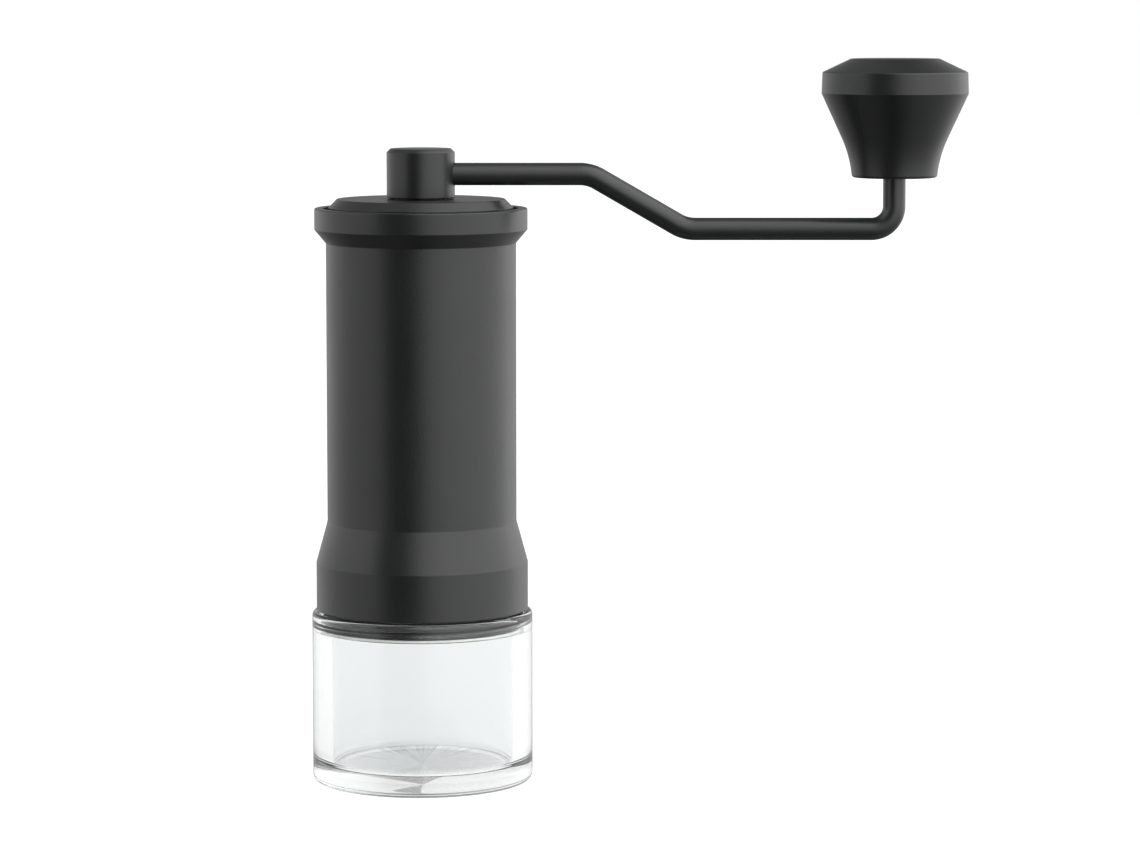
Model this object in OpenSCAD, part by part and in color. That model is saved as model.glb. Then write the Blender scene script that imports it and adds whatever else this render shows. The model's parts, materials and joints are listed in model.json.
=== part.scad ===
// Hand crank coffee grinder: a slim metal tube over a clear screw-on jar, with a bent rod crank.
// Millimetres, +Z up. The origin is the centre of the jar's flat base, and the crank points along +X.

/* [Burrs] */
// Outer diameter of the ring burr, which sets the tube round it
burr_d = 38; // [34:0.5:48]
// Height of the ring burr
burr_h = 16; // [13:0.5:19]
// Height of the cone burr
cone_h = 23.5; // [20:0.5:27]
// Radial gap between the two burrs at rest
grind_gap = 0.35; // [0.3:0.05:0.6]
// Coarse flutes on each burr
flutes = 6; // [4:1:8]
// Fine teeth on each burr
teeth = 24; // [12:1:36]

/* [Body] */
// Height of the body, from its lower face to the top of the collar
body_h = 107.7; // [100:0.1:150]
// Wall of the tube
tube_wall = 2.25; // [2:0.05:3]
// Height of the wide straight band at the foot
band_h = 12.7; // [10:0.1:16]
// Height of the cone from that band in to the tube
flare_h = 11.1; // [8:0.1:16]
// Step out from the tube to the band, on the radius
flare_step = 3.05; // [2.5:0.05:5]
// Height of the collar's straight side
collar_h = 5.8; // [4.6:0.1:9]
// Height of the cone under the collar
collar_taper_h = 3.6; // [2:0.1:5]
// Step out from the tube to the collar, on the radius
collar_step = 3.05; // [2.8:0.05:5]
// Width of the collar's top rim
collar_rim = 2.3; // [1.5:0.1:2.4]
// Depth of the recess that the lid sits in
recess_depth = 1.8; // [1:0.1:2.4]
// Depth of the bore under the seat of the burr carrier
carrier_depth = 19.6; // [19:0.1:21]

/* [Jar] */
// Height of the jar
jar_h = 46; // [36:0.5:80]
// Step out from the body's band to the jar, on the radius
jar_step = 1.2; // [0.4:0.1:2]
// Wall of the jar beside the hollow
jar_wall = 5.3; // [4:0.1:7]
// Wall of the jar's rim, outside the thread
rim_wall = 2.2; // [1.6:0.1:2.6]
// Thickness of the jar's floor
jar_floor = 5; // [3:0.5:8]
// Radius of the jar's outer bottom edge
jar_edge = 2; // [1:0.1:3]
// Radius of the corner inside the jar's floor
jar_corner = 2; // [1:0.1:3]
// Radius of the jar's rim
rim_round = 1.1; // [0.5:0.1:1.4]
// Depth of the threaded mouth
mouth_depth = 5; // [4.6:0.1:8]
// Thickness of the jar's seal
seal_t = 0.6; // [0.4:0.1:1]
// Pitch of the jar thread
thread_pitch = 2.4; // [2.4:0.1:3]
// Height of the thread's ridges
thread_depth = 0.8; // [0.6:0.05:1]

/* [Lid] */
// Rise of the lid above the collar
lid_rise = 2.3; // [1.5:0.1:5]
// Width and height of the lid's chamfer
lid_chamfer = 2.2; // [1:0.1:3]
// Width of the groove between the lid and the collar
lid_groove = 1.5; // [1:0.1:1.8]
// Depth of the lid's plug below the recess
plug_h = 4.8; // [4.4:0.1:6]
// Thickness of the lid's top
lid_top_t = 3; // [2:0.1:3.2]

/* [Crank] */
// Distance from the grinder's axis to the knob's axis
crank_r = 126; // [100:1:180]
// Diameter of the crank rod
rod_d = 6; // [5:0.1:8]
// Diameter of the hub
hub_d = 18.2; // [16:0.1:26]
// Height of the hub above the lid
hub_h = 13.1; // [11:0.1:20]
// Chamfer round the hub's top
hub_chamfer = 1; // [0.5:0.1:2]
// Distance from the axis to the first bend
bend_x = 45; // [35:1:55]
// Drop between the rod's two level runs
rod_drop = 14.6; // [8:0.1:20]
// Angle of the sloping run
slope = 30; // [20:1:45]
// Radius of the two shallow bends
bend_r = 10; // [7:0.5:14]
// Radius of the bend up to the knob
stem_r = 6; // [4:0.5:8]

/* [Knob] */
// Greatest diameter of the knob
knob_d = 39; // [34:0.5:50]
// Height of the knob
knob_h = 31.5; // [28:0.5:44]
// Diameter of the knob's lower face
knob_foot_d = 22.6; // [18:0.2:28]
// Height of the cone above the knob's band
knob_crown_h = 3.7; // [3:0.1:6]
// Height of the knob's band
knob_band_h = 5.6; // [4:0.1:9]
// Draft of the band on the radius
knob_draft = 0.2; // [0:0.05:0.5]
// Diameter of the flat cap in the knob's top
knob_cap_d = 22.9; // [18:0.1:26]
// Distance from the first level run down to the knob's lower face
knob_sink = 0.9; // [0:0.1:6]

/* [Shaft and bearings] */
// Diameter of the drive shaft
shaft_d = 7; // [6:0.1:9]
// Radial thickness of each bearing
bearing_section = 3.5; // [3.4:0.1:4.5]
// Width of each bearing
bearing_w = 5; // [4:0.1:6]
// Balls in each bearing
balls = 7; // [6:1:8]

/* [Grind dial] */
// Diameter of the grind dial
dial_d = 25; // [22:0.5:32]
// Height of the grind dial
dial_h = 7.2; // [5:0.1:7.4]
// Grips round the dial's edge
dial_grips = 18; // [8:1:24]
// Click dents in the dial's top
clicks = 12; // [8:2:18]

/* [Hidden] */
$fn = 72;

// Clearances
fit_gap = 0.1;       // a piece slid into its bore and held by something else
run_gap = 0.05;      // a shaft or spigot that turns in its bore
seat_gap = 0.05;     // two faces that meet across a joint
body_gap = 0.4;      // between the jar's rim and the body
thread_gap = 0.4;    // between a thread's crest and the wall it faces
hub_gap = 0.3;       // under the crank hub

// Radii from the burrs out to the jar
burr_r = burr_d / 2;
carrier_wall = 4;
tube_bore_r = burr_r + carrier_wall + fit_gap;
tube_r = tube_bore_r + tube_wall;
band_r = tube_r + flare_step;
collar_r = tube_r + collar_step;
jar_r = band_r + jar_step;
jar_bore_r = jar_r - jar_wall;
mouth_r = jar_r - rim_wall;
thread_major_r = mouth_r - thread_gap;
thread_minor_r = thread_major_r - thread_depth;
thread_lift = 0.9;
thread_root_w = 1.1;
thread_crest_w = 0.6;
skirt_wall = 2.9;
spigot_wall = 1.2;
skirt_in_r = thread_minor_r - skirt_wall;
skirt_spigot_r = skirt_in_r + spigot_wall;
low_bore_r = skirt_spigot_r + fit_gap;
bridge_step = 0.8;
mouth_bore_r = tube_bore_r + bridge_step;
recess_r = collar_r - collar_rim;
lid_r = recess_r - lid_groove;

// Heights of the outside
z_mouth = jar_h - mouth_depth;
z_seal = z_mouth + seat_gap;
z_skirt = z_seal + seal_t + seat_gap;
z_body = jar_h + body_gap;
z_band = z_body + band_h;
z_tube = z_band + flare_h;
z_top = z_body + body_h;
z_collar = z_top - collar_h;
z_neck = z_collar - collar_taper_h;
z_recess = z_top - recess_depth;
z_lid = z_top + lid_rise;
z_hub = z_lid + hub_gap;
z_rod = z_hub + hub_h / 2 - 0.25;
z_low_run = z_rod - rod_drop;
z_knob = z_rod - knob_sink;

// The skirt's ridge starts at angle 0 and the jar's at angle 90, half a pitch below it
z_thread = z_skirt + thread_lift;
z_jar_thread = z_thread - thread_pitch / 4;
male_turns = (z_body - z_thread - 0.9) / thread_pitch;
female_turns = (jar_h - z_jar_thread - 0.9) / thread_pitch;
jar_crest_r = thread_minor_r + thread_gap;

// Burr carrier and burrs
carrier_seat_h = 8.5;
carrier_top_h = 32;
z_seat = z_body + carrier_depth;
z_ring = z_seat - carrier_seat_h;
retainer_t = 1.5;
z_retainer = z_ring - retainer_t;
ring_foot_r = burr_r - 1.6;
ring_throat_r = burr_r - 4.8;
ring_mouth_r = burr_r - 2.6;
ring_flare_h = 6;
ring_slope = (ring_foot_r - ring_throat_r) / ring_flare_h;
cone_drop = 1;
z_cone = z_ring - cone_drop;
cone_foot_r = ring_foot_r - 0.2;
z_cone_rim = z_ring - (cone_foot_r + grind_gap - ring_foot_r) / ring_slope;
cone_throat_r = ring_throat_r - grind_gap;
carrier_lip_r = ring_mouth_r + 0.4;
funnel_r = tube_bore_r - 1.7;
retainer_in_r = ring_foot_r + 0.5;
screw_pcd_r = burr_r + 2;
screw_r = 1.2;
screw_head_r = 2.1;
screw_head_h = 1.2;
screws = 3;

// Shaft and bearings
shaft_r = shaft_d / 2;
bearing_r = shaft_r + bearing_section;
ball_r = 0.285 * bearing_section;
ball_pitch_r = (shaft_r + bearing_r) / 2;
race_wall = 0.31 * bearing_section;
boss_wall = 3.2;
boss_r = bearing_r + boss_wall;
bearing_fit = 0.02;
lip_r = bearing_r - 1.4;
arms = 3;
arm_w = 5;
arm_h = 5;
bridge_depth = 20.1;
bridge_h = 9;
bridge_ring_t = 2.4;
z_bridge = z_top - bridge_depth;
z_upper_bearing = z_bridge + 3;
z_lower_bearing = z_seat + 26;
snap_t = 1;
snap_r = mouth_bore_r + 0.5;
z_snap = z_bridge + bridge_h + fit_gap;
flat_half = shaft_r - 0.75;
hex_r = shaft_r - 0.04;
z_hex = z_snap + snap_t + 0.2;
z_hex_top = z_hub - 1.7;
clip_t = 0.6;
clip_r = shaft_r + 1.5;
groove_r = shaft_r - 0.6;

// Click plate and dial
click_h = 4.9;
click_r = 10;
click_pcd_r = 7.5;
click_ball_r = 1.2;
click_count = 2;
z_click = z_cone - fit_gap - click_h;
z_dial_top = z_click - fit_gap;
z_dial = z_dial_top - dial_h;
click_track_h = 0.4;
click_dent_h = 0.15;
z_click_ball = z_dial_top - click_track_h + click_ball_r;
dial_thread_r = shaft_r - 0.5;
dial_travel_up = 0.5;
dial_travel_down = 0.7;
stop_t = 0.7;
z_stop = z_dial - dial_travel_down - 0.1 - stop_t;
z_shaft_end = z_stop - 0.4;

// Spring over the cone burr
spring_wire_r = 0.5;
spring_r = shaft_r + 1.4;
spring_coils = 5;
washer_t = 0.8;
z_washer = z_lower_bearing - bearing_fit - washer_t;
z_cone_top = z_cone + cone_h;

// Lid
lid_edge_h = z_lid - lid_chamfer - z_recess - seat_gap;
plug_r = mouth_bore_r - 0.4;
z_plug = z_recess - plug_h;
plug_wall = 2.7;
plug_in_r = plug_r - plug_wall;
lid_base_t = 1.5;
o_ring_r = 0.9;
z_o_ring = z_plug + 2.7;
spigot_r = hex_r + fit_gap + 2.45;
bush_r = spigot_r + run_gap + 0.95;
lid_boss_r = bush_r + 2;

// Crank
rod_r = rod_d / 2;
rod_inset = 4;
spindle_r = rod_r - 0.5;
z_spindle = z_knob - 0.1;
hub_r = hub_d / 2;
hub_clip_t = 0.7;
z_hub_clip = z_plug - 0.4 - hub_clip_t;
z_spigot = z_hub_clip - 0.8;
set_screw_r = 2;
set_screw_l = hub_r - rod_r - 0.4;

// Knob
knob_r = knob_d / 2;
foot_r = knob_foot_d / 2;
knob_bush_r = spindle_r + run_gap + 1.95;
knob_flange_r = knob_bush_r + 1.1;
knob_flange_t = 0.8;
knob_bush_l = 7;
z_knob_top = z_knob + knob_h;
z_knob_band = z_knob_top - knob_crown_h - knob_band_h;
knob_cap_t = 2.2;
z_pocket = z_knob_top - knob_cap_t - 7.7;
pocket_r = 7;
z_spindle_top = z_pocket + 0.2;
foot_angle = 7.5;
foot_round = 1;
knee = 0.24;

// Unit vector of a in the plane, turned by 90 degrees where side is 1 and by -90 where it is -1
function normal(d, side) = [-d[1] * side, d[0] * side];
function unit(v) = v / norm(v);
function cross2(a, b) = a[0] * b[1] - a[1] * b[0];
function arc(centre, r, from, to, steps) =
    [for (i = [0:steps]) let (a = from + (to - from) * i / steps) centre + r * [cos(a), sin(a)]];
// A curve from a to c that leaves and arrives along the lines to b
function curve(a, b, c, steps) =
    [for (i = [0:steps]) let (t = i / steps) (1 - t) * (1 - t) * a + 2 * t * (1 - t) * b + t * t * c];

// A closed solid through a list of rings with the same number of points each
module skin(rings) {
    n = len(rings);
    m = len(rings[0]);
    polyhedron(
        points = [for (ring = rings) each ring],
        faces = concat(
            [for (i = [0:n - 2], j = [0:m - 1]) let (a = i * m + j, b = i * m + (j + 1) % m) [a, b, b + m]],
            [for (i = [0:n - 2], j = [0:m - 1]) let (a = i * m + j, b = i * m + (j + 1) % m) [a, b + m, a + m]],
            [for (j = [1:m - 2]) [0, j + 1, j]],
            [for (j = [1:m - 2]) [(n - 1) * m, (n - 1) * m + j, (n - 1) * m + j + 1]]
        )
    );
}

// A helical ridge of trapezoid section from a root radius to a crest radius, fading in and out
module thread_ridge(root_r, crest_r, turns, phase) {
    steps = round(turns * 48);
    fade = 6;
    root_h = thread_root_w / 2;
    crest_h = thread_crest_w / 2;
    skin([for (i = [0:steps])
        let (
            a = phase + i * 7.5,
            z = thread_pitch * i / 48,
            grow = min(1, (i + 0.6) / fade, (steps - i + 0.6) / fade),
            r = root_r + (crest_r - root_r) * grow,
            h = crest_h + (root_h - crest_h) * (1 - grow),
            side = [[root_r, -root_h], [r, -h], [r, h], [root_r, root_h]],
            order = crest_r > root_r ? [0, 1, 2, 3] : [3, 2, 1, 0]
        )
        [for (k = order) [side[k][0] * cos(a), side[k][0] * sin(a), z + side[k][1]]]
    ]);
}

// A round coil spring whose ends are the given heights
module coil(mean_r, wire_r, z0, z1, turns) {
    steps = turns * 16;
    low = z0 + wire_r;
    high = z1 - wire_r;
    skin([for (i = [0:steps])
        let (a = i * 22.5, z = low + (high - low) * i / steps)
        [for (j = [0:5])
            let (b = j * 60, r = mean_r + wire_r * cos(b))
            [r * cos(a), r * sin(a), z + wire_r * sin(b)]]
    ]);
}

// A ring with an outer and an inner radius
module ring(out_r, in_r, h) {
    difference() {
        cylinder(r = out_r, h = h);
        translate([0, 0, -1]) cylinder(r = in_r, h = h + 2);
    }
}

// An open clip that snaps into a groove, with its gap towards angle a
module clip(out_r, in_r, h, a, gap) {
    difference() {
        ring(out_r, in_r, h);
        rotate([0, 0, a]) translate([0, -gap / 2, -1]) cube([out_r + 1, gap, h + 2]);
    }
}

// ---- Body ----

module body_shell() {
    color([0.13, 0.13, 0.13])
    rotate_extrude()
    polygon([
        [low_bore_r, z_body], [band_r - 0.3, z_body], [band_r, z_body + 0.3], [band_r, z_band],
        [tube_r, z_tube], [tube_r, z_neck], [collar_r, z_collar], [collar_r, z_top - 0.4],
        [collar_r - 0.4, z_top], [recess_r + 0.2, z_top], [recess_r, z_top - 0.2],
        [recess_r, z_recess], [mouth_bore_r + 0.3, z_recess], [mouth_bore_r, z_recess - 0.3],
        [mouth_bore_r, z_snap + snap_t + fit_gap], [snap_r, z_snap + snap_t + fit_gap],
        [snap_r, z_snap], [mouth_bore_r, z_snap], [mouth_bore_r, z_bridge],
        [tube_bore_r, z_bridge], [tube_bore_r, z_seat], [low_bore_r, z_seat]
    ]);
}

// The black threaded ring under the body: its spigot holds the burr carrier up against its seat
module skirt_ring() {
    color([0.1, 0.1, 0.1])
    union() {
        rotate_extrude()
        polygon([
            [skirt_in_r, z_skirt], [thread_minor_r - 0.3, z_skirt], [thread_minor_r, z_skirt + 0.3],
            [thread_minor_r, z_body], [skirt_spigot_r, z_body], [skirt_spigot_r, z_retainer],
            [skirt_in_r, z_retainer]
        ]);
        translate([0, 0, z_thread])
        thread_ridge(thread_minor_r - 0.2, thread_major_r, male_turns, 0);
    }
}

module three_arms(in_r, out_r, h) {
    for (i = [0:arms - 1])
        rotate([0, 0, 90 + i * 360 / arms])
        translate([in_r, -arm_w / 2, 0])
        cube([out_r - in_r, arm_w, h]);
}

module burr_carrier() {
    arm_z = z_lower_bearing;
    z_carrier_top = z_seat + carrier_top_h;
    z_lip = z_ring + burr_h;
    upper_r = tube_bore_r - fit_gap;
    color([0.62, 0.63, 0.64])
    difference() {
        union() {
            rotate_extrude()
            polygon([
                [burr_r + run_gap, z_ring], [low_bore_r - fit_gap, z_ring],
                [low_bore_r - fit_gap, z_seat], [upper_r, z_seat], [upper_r, z_carrier_top],
                [funnel_r, z_carrier_top], [funnel_r, z_lip + 7], [carrier_lip_r, z_lip + 1],
                [carrier_lip_r, z_lip], [burr_r + run_gap, z_lip]
            ]);
            translate([0, 0, arm_z]) three_arms(bearing_r + 1, funnel_r + 0.4, arm_h);
            translate([0, 0, arm_z - 1]) cylinder(r = boss_r, h = bearing_w + 2.2);
        }
        translate([0, 0, arm_z - 2]) cylinder(r = bearing_r + bearing_fit, h = bearing_w + 2);
        translate([0, 0, arm_z]) cylinder(r = lip_r, h = bearing_w + 3);
        for (i = [0:screws - 1])
            rotate([0, 0, 30 + i * 360 / screws])
            translate([screw_pcd_r, 0, z_ring - 1])
            cylinder(r = screw_r, h = 7);
    }
}

// Round grooves that lie on a cone's surface: at radius r and height z they lean round it and slope along it
module flute_cuts(r, z, h, lean, slope_angle, w, count, turn) {
    for (i = [0:count - 1])
        rotate([0, 0, i * 360 / count + turn])
        translate([r, 0, z])
        rotate([lean, slope_angle, 0])
        cylinder(r = w, h = h, center = true);
}

module ring_burr() {
    z_throat = z_ring + ring_flare_h;
    z_end = z_ring + burr_h;
    color([0.72, 0.72, 0.7])
    difference() {
        rotate_extrude()
        polygon([
            [ring_foot_r, z_ring], [burr_r, z_ring], [burr_r, z_end],
            [ring_mouth_r, z_end], [ring_throat_r, z_throat]
        ]);
        flute_cuts(
            (ring_throat_r + ring_mouth_r) / 2 - 0.4, (z_throat + z_end) / 2, burr_h + 4, 24,
            atan((ring_mouth_r - ring_throat_r) / (z_end - z_throat)), 1.7, flutes, 0
        );
        flute_cuts(
            (ring_foot_r + ring_throat_r) / 2, z_ring + ring_flare_h / 2, 12, 20, -atan(ring_slope),
            0.5, teeth, 7
        );
    }
}

module burr_retainer() {
    color([0.7, 0.7, 0.7])
    difference() {
        translate([0, 0, z_retainer]) ring(low_bore_r - fit_gap, retainer_in_r, retainer_t);
        for (i = [0:screws - 1])
            rotate([0, 0, 30 + i * 360 / screws])
            translate([screw_pcd_r, 0, z_retainer - 1])
            cylinder(r = screw_r + fit_gap, h = retainer_t + 2);
    }
}

// A screw whose head's underside is at height 0, with its thread up and its drive in the head's lower face
module hex_drive_screw(r, l, head_r, head_h, drive_r) {
    difference() {
        union() {
            cylinder(r = r, h = l);
            translate([0, 0, -head_h]) cylinder(r1 = head_r - 0.4, r2 = head_r, h = head_h);
        }
        translate([0, 0, -head_h - 1]) cylinder(r = drive_r, h = 1 + head_h * 0.6, $fn = 6);
    }
}

module retainer_screws() {
    color([0.75, 0.75, 0.76])
    for (i = [0:screws - 1])
        rotate([0, 0, 30 + i * 360 / screws])
        translate([screw_pcd_r, 0, z_retainer])
        hex_drive_screw(screw_r, 7, screw_head_r, screw_head_h, 0.9);
}

module bearing_bridge() {
    ring_out = mouth_bore_r - fit_gap;
    ring_in = ring_out - bridge_ring_t;
    color([0.62, 0.63, 0.64])
    difference() {
        union() {
            translate([0, 0, z_bridge]) ring(ring_out, ring_in, bridge_h);
            translate([0, 0, z_bridge]) three_arms(bearing_r + 1, ring_in + 0.4, arm_h + 1);
            translate([0, 0, z_bridge]) cylinder(r = boss_r, h = bridge_h - 0.6);
        }
        translate([0, 0, z_upper_bearing]) cylinder(r = bearing_r + bearing_fit, h = bridge_h);
        translate([0, 0, z_bridge - 1]) cylinder(r = lip_r, h = bridge_h);
    }
}

module bridge_snap_ring() {
    color([0.55, 0.55, 0.56])
    translate([0, 0, z_snap + run_gap])
    difference() {
        union() {
            clip(snap_r - fit_gap, snap_r - 1.9, snap_t, 270, 9);
            for (s = [-1, 1])
                rotate([0, 0, 270 + s * 14])
                translate([snap_r - 2.6, 0, 0])
                cylinder(r = 1.7, h = snap_t);
        }
        for (s = [-1, 1])
            rotate([0, 0, 270 + s * 14])
            translate([snap_r - 2.6, 0, -1])
            cylinder(r = 0.8, h = snap_t + 2);
    }
}

// ---- Bearings, each drawn from its lower face ----

module race_groove() {
    translate([0, 0, bearing_w / 2])
    rotate_extrude()
    translate([ball_pitch_r, 0])
    circle(r = ball_r + 0.05);
}

module outer_race() {
    color([0.78, 0.79, 0.8])
    difference() {
        ring(bearing_r, bearing_r - race_wall, bearing_w);
        race_groove();
    }
}

module inner_race() {
    color([0.78, 0.79, 0.8])
    difference() {
        ring(shaft_r + race_wall, shaft_r, bearing_w);
        race_groove();
    }
}

module ball_set() {
    color([0.85, 0.85, 0.86])
    for (i = [0:balls - 1])
        rotate([0, 0, i * 360 / balls])
        translate([ball_pitch_r, 0, bearing_w / 2])
        sphere(r = ball_r);
}

module ball_cage() {
    color([0.7, 0.6, 0.35])
    difference() {
        translate([0, 0, bearing_w / 2 - 1.35])
        ring(ball_pitch_r + 0.4, ball_pitch_r - 0.4, 1.9);
        for (i = [0:balls - 1])
            rotate([0, 0, i * 360 / balls])
            translate([ball_pitch_r, 0, bearing_w / 2])
            sphere(r = ball_r + 0.06);
    }
}

module shields() {
    in_r = shaft_r + race_wall + 0.15;
    color([0.6, 0.6, 0.61])
    for (z = [0.15, bearing_w - 0.4])
        translate([0, 0, z]) ring(bearing_r - race_wall, in_r, 0.25);
}

module at_upper() { translate([0, 0, z_upper_bearing]) children(); }
module at_lower() { translate([0, 0, z_lower_bearing]) children(); }

// ---- Shaft ----

module drive_shaft() {
    bearing_seat_r = shaft_r - bearing_fit;
    z_shoulder = z_dial_top + dial_travel_up;
    z_flats = z_dial_top - dial_travel_down;
    color([0.75, 0.75, 0.76])
    difference() {
        union() {
            translate([0, 0, z_shaft_end]) cylinder(r = dial_thread_r, h = z_shoulder - z_shaft_end);
            translate([0, 0, z_shoulder]) cylinder(r = bearing_seat_r, h = z_hex - z_shoulder);
            translate([0, 0, z_hex]) cylinder(r = hex_r, h = z_hex_top - 0.8 - z_hex, $fn = 6);
            translate([0, 0, z_hex_top - 0.8]) cylinder(r1 = hex_r * 0.86, r2 = hex_r * 0.68, h = 0.8);
        }
        for (s = [-1, 1])
            translate([-shaft_r, s > 0 ? flat_half : -flat_half - shaft_r, z_flats])
            cube([shaft_d, shaft_r, z_washer - 1 - z_flats]);
        for (z = [z_upper_bearing - clip_t - bearing_fit, z_upper_bearing + bearing_w + bearing_fit])
            translate([0, 0, z]) ring(shaft_r + 1, groove_r, clip_t);
        translate([0, 0, z_stop]) ring(shaft_r, dial_thread_r - 0.6, stop_t);
    }
}

module shaft_clips() {
    color([0.5, 0.5, 0.51])
    for (z = [z_upper_bearing - clip_t - bearing_fit, z_upper_bearing + bearing_w + bearing_fit])
        translate([0, 0, z]) clip(clip_r, groove_r, clip_t, 180, 3.4);
}

module dial_stop_clip() {
    color([0.5, 0.5, 0.51])
    translate([0, 0, z_stop]) clip(dial_thread_r + 1.5, dial_thread_r - 0.6, stop_t, 180, 3);
}

module spring_washer() {
    color([0.75, 0.75, 0.76])
    translate([0, 0, z_washer]) ring(spring_r + 0.7, shaft_r + run_gap, washer_t);
}

module burr_spring() {
    color([0.68, 0.68, 0.69])
    coil(spring_r, spring_wire_r, z_cone_top + 0.02, z_washer - 0.02, spring_coils);
}

// ---- Cone burr, click plate and dial ----

// The shaft's two-flat section with a running gap
module keyed_bore(z, h) {
    translate([0, 0, z])
    intersection() {
        cylinder(r = shaft_r + run_gap, h = h);
        translate([-shaft_d, -flat_half - run_gap, 0]) cube([2 * shaft_d, 2 * (flat_half + run_gap), h]);
    }
}

module cone_burr() {
    z_throat = z_ring + ring_flare_h;
    nose_r = shaft_r + 2.7;
    shoulder_r = shaft_r + 4.6;
    z_shoulder = z_cone_top - 4.5;
    color([0.7, 0.7, 0.68])
    difference() {
        rotate_extrude()
        polygon([
            [0, z_cone], [cone_foot_r, z_cone], [cone_foot_r, z_cone_rim], [cone_throat_r, z_throat],
            [shoulder_r, z_shoulder], [nose_r, z_cone_top], [0, z_cone_top]
        ]);
        keyed_bore(z_cone - 1, cone_h + 2);
        flute_cuts(
            (cone_throat_r + shoulder_r) / 2 + 0.8, (z_throat + z_shoulder) / 2, cone_h, -24,
            -atan((cone_throat_r - shoulder_r) / (z_shoulder - z_throat)), 2.1, flutes, 0
        );
        flute_cuts(
            (cone_foot_r + cone_throat_r) / 2 + 0.1, z_ring + ring_flare_h / 2, 12, -20,
            -atan(ring_slope), 0.5, teeth, 4
        );
    }
}

module click_carrier() {
    color([0.72, 0.6, 0.36])
    difference() {
        translate([0, 0, z_click]) cylinder(r = click_r, h = click_h);
        keyed_bore(z_click - 1, click_h + 2);
        for (i = [0:click_count - 1])
            rotate([0, 0, i * 360 / click_count])
            translate([click_pcd_r, 0, z_click - 1])
            cylinder(r = click_ball_r + run_gap, h = click_h);
    }
}

module click_balls() {
    color([0.85, 0.85, 0.86])
    for (i = [0:click_count - 1])
        rotate([0, 0, i * 360 / click_count])
        translate([click_pcd_r, 0, z_click_ball])
        sphere(r = click_ball_r);
}

module click_springs() {
    color([0.68, 0.68, 0.69])
    for (i = [0:click_count - 1])
        rotate([0, 0, i * 360 / click_count])
        translate([click_pcd_r, 0, 0])
        coil(0.8, 0.18, z_click_ball + 0.97, z_click + click_h - 1.05, 3);
}

module grind_dial() {
    dial_r = dial_d / 2;
    grip_r = 1.1;
    color([0.16, 0.16, 0.16])
    difference() {
        rotate_extrude()
        polygon([
            [dial_thread_r + run_gap, z_dial + 1.2], [dial_r - 3, z_dial + 1.2], [dial_r - 2.4, z_dial],
            [dial_r - 0.6, z_dial], [dial_r, z_dial + 0.6], [dial_r, z_dial_top - 0.6],
            [dial_r - 0.6, z_dial_top], [dial_thread_r + run_gap, z_dial_top]
        ]);
        for (i = [0:dial_grips - 1])
            rotate([0, 0, i * 360 / dial_grips])
            translate([dial_r + 0.55, 0, z_dial - 1])
            cylinder(r = grip_r, h = dial_h + 2);
        translate([0, 0, z_click_ball])
        rotate_extrude()
        translate([click_pcd_r, 0])
        circle(r = click_ball_r + run_gap);
        for (i = [0:clicks - 1])
            rotate([0, 0, i * 360 / clicks])
            translate([click_pcd_r, 0, z_click_ball - click_dent_h])
            sphere(r = click_ball_r + run_gap);
    }
}

// ---- Lid ----

module lid_cap() {
    color([0.13, 0.13, 0.13])
    difference() {
        rotate_extrude()
        polygon([
            [bush_r, z_plug], [lid_boss_r, z_plug], [lid_boss_r, z_lid - lid_top_t],
            [plug_in_r, z_lid - lid_top_t], [plug_in_r, z_plug], [plug_r - 0.4, z_plug],
            [plug_r, z_plug + 0.4], [plug_r, z_recess + seat_gap], [lid_r, z_recess + seat_gap],
            [lid_r, z_lid - lid_chamfer], [lid_r - lid_chamfer, z_lid], [bush_r, z_lid]
        ]);
        translate([0, 0, z_o_ring - o_ring_r - fit_gap])
        ring(plug_r + 1, plug_r - 1.5, 2 * (o_ring_r + fit_gap));
    }
}

module lid_base() {
    color([0.1, 0.1, 0.1])
    translate([0, 0, z_plug]) ring(plug_in_r - bearing_fit, lid_boss_r + bearing_fit, lid_base_t);
}

module lid_o_ring() {
    color([0.75, 0.75, 0.73])
    translate([0, 0, z_o_ring])
    rotate_extrude()
    translate([mouth_bore_r - run_gap - o_ring_r, 0])
    circle(r = o_ring_r);
}

module lid_bush() {
    color([0.85, 0.84, 0.8])
    translate([0, 0, z_plug]) ring(bush_r, spigot_r + run_gap, z_lid - z_plug);
}

// ---- Crank ----

module crank_hub() {
    color([0.14, 0.14, 0.14])
    difference() {
        union() {
            rotate_extrude()
            polygon([
                [0, z_hub], [hub_r - 0.25, z_hub], [hub_r, z_hub + 0.25],
                [hub_r, z_hub + hub_h - hub_chamfer], [hub_r - hub_chamfer, z_hub + hub_h],
                [0, z_hub + hub_h]
            ]);
            translate([0, 0, z_spigot]) cylinder(r = spigot_r, h = z_hub - z_spigot + 1);
        }
        translate([0, 0, z_spigot - 1])
        cylinder(r = hex_r + fit_gap, h = z_hex_top - z_spigot + 1.6, $fn = 6);
        translate([0, 0, z_hub_clip]) ring(spigot_r + 1, spigot_r - 0.8, hub_clip_t);
        translate([-rod_inset - 0.1, 0, z_rod])
        rotate([0, 90, 0])
        cylinder(r = rod_r + bearing_fit, h = rod_inset + hub_r + 1);
        translate([0, rod_r - 0.4, z_rod])
        rotate([-90, 0, 0])
        cylinder(r = set_screw_r + bearing_fit, h = hub_r);
    }
}

module hub_set_screw() {
    color([0.3, 0.3, 0.31])
    translate([0, rod_r + bearing_fit, z_rod])
    rotate([-90, 0, 0])
    difference() {
        cylinder(r = set_screw_r, h = set_screw_l);
        translate([0, 0, set_screw_l - 2]) cylinder(r = 1.15, h = 3, $fn = 6);
    }
}

module hub_clip() {
    color([0.5, 0.5, 0.51])
    translate([0, 0, z_hub_clip]) clip(spigot_r + 1.6, spigot_r - 0.8, hub_clip_t, 180, 6);
}

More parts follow.
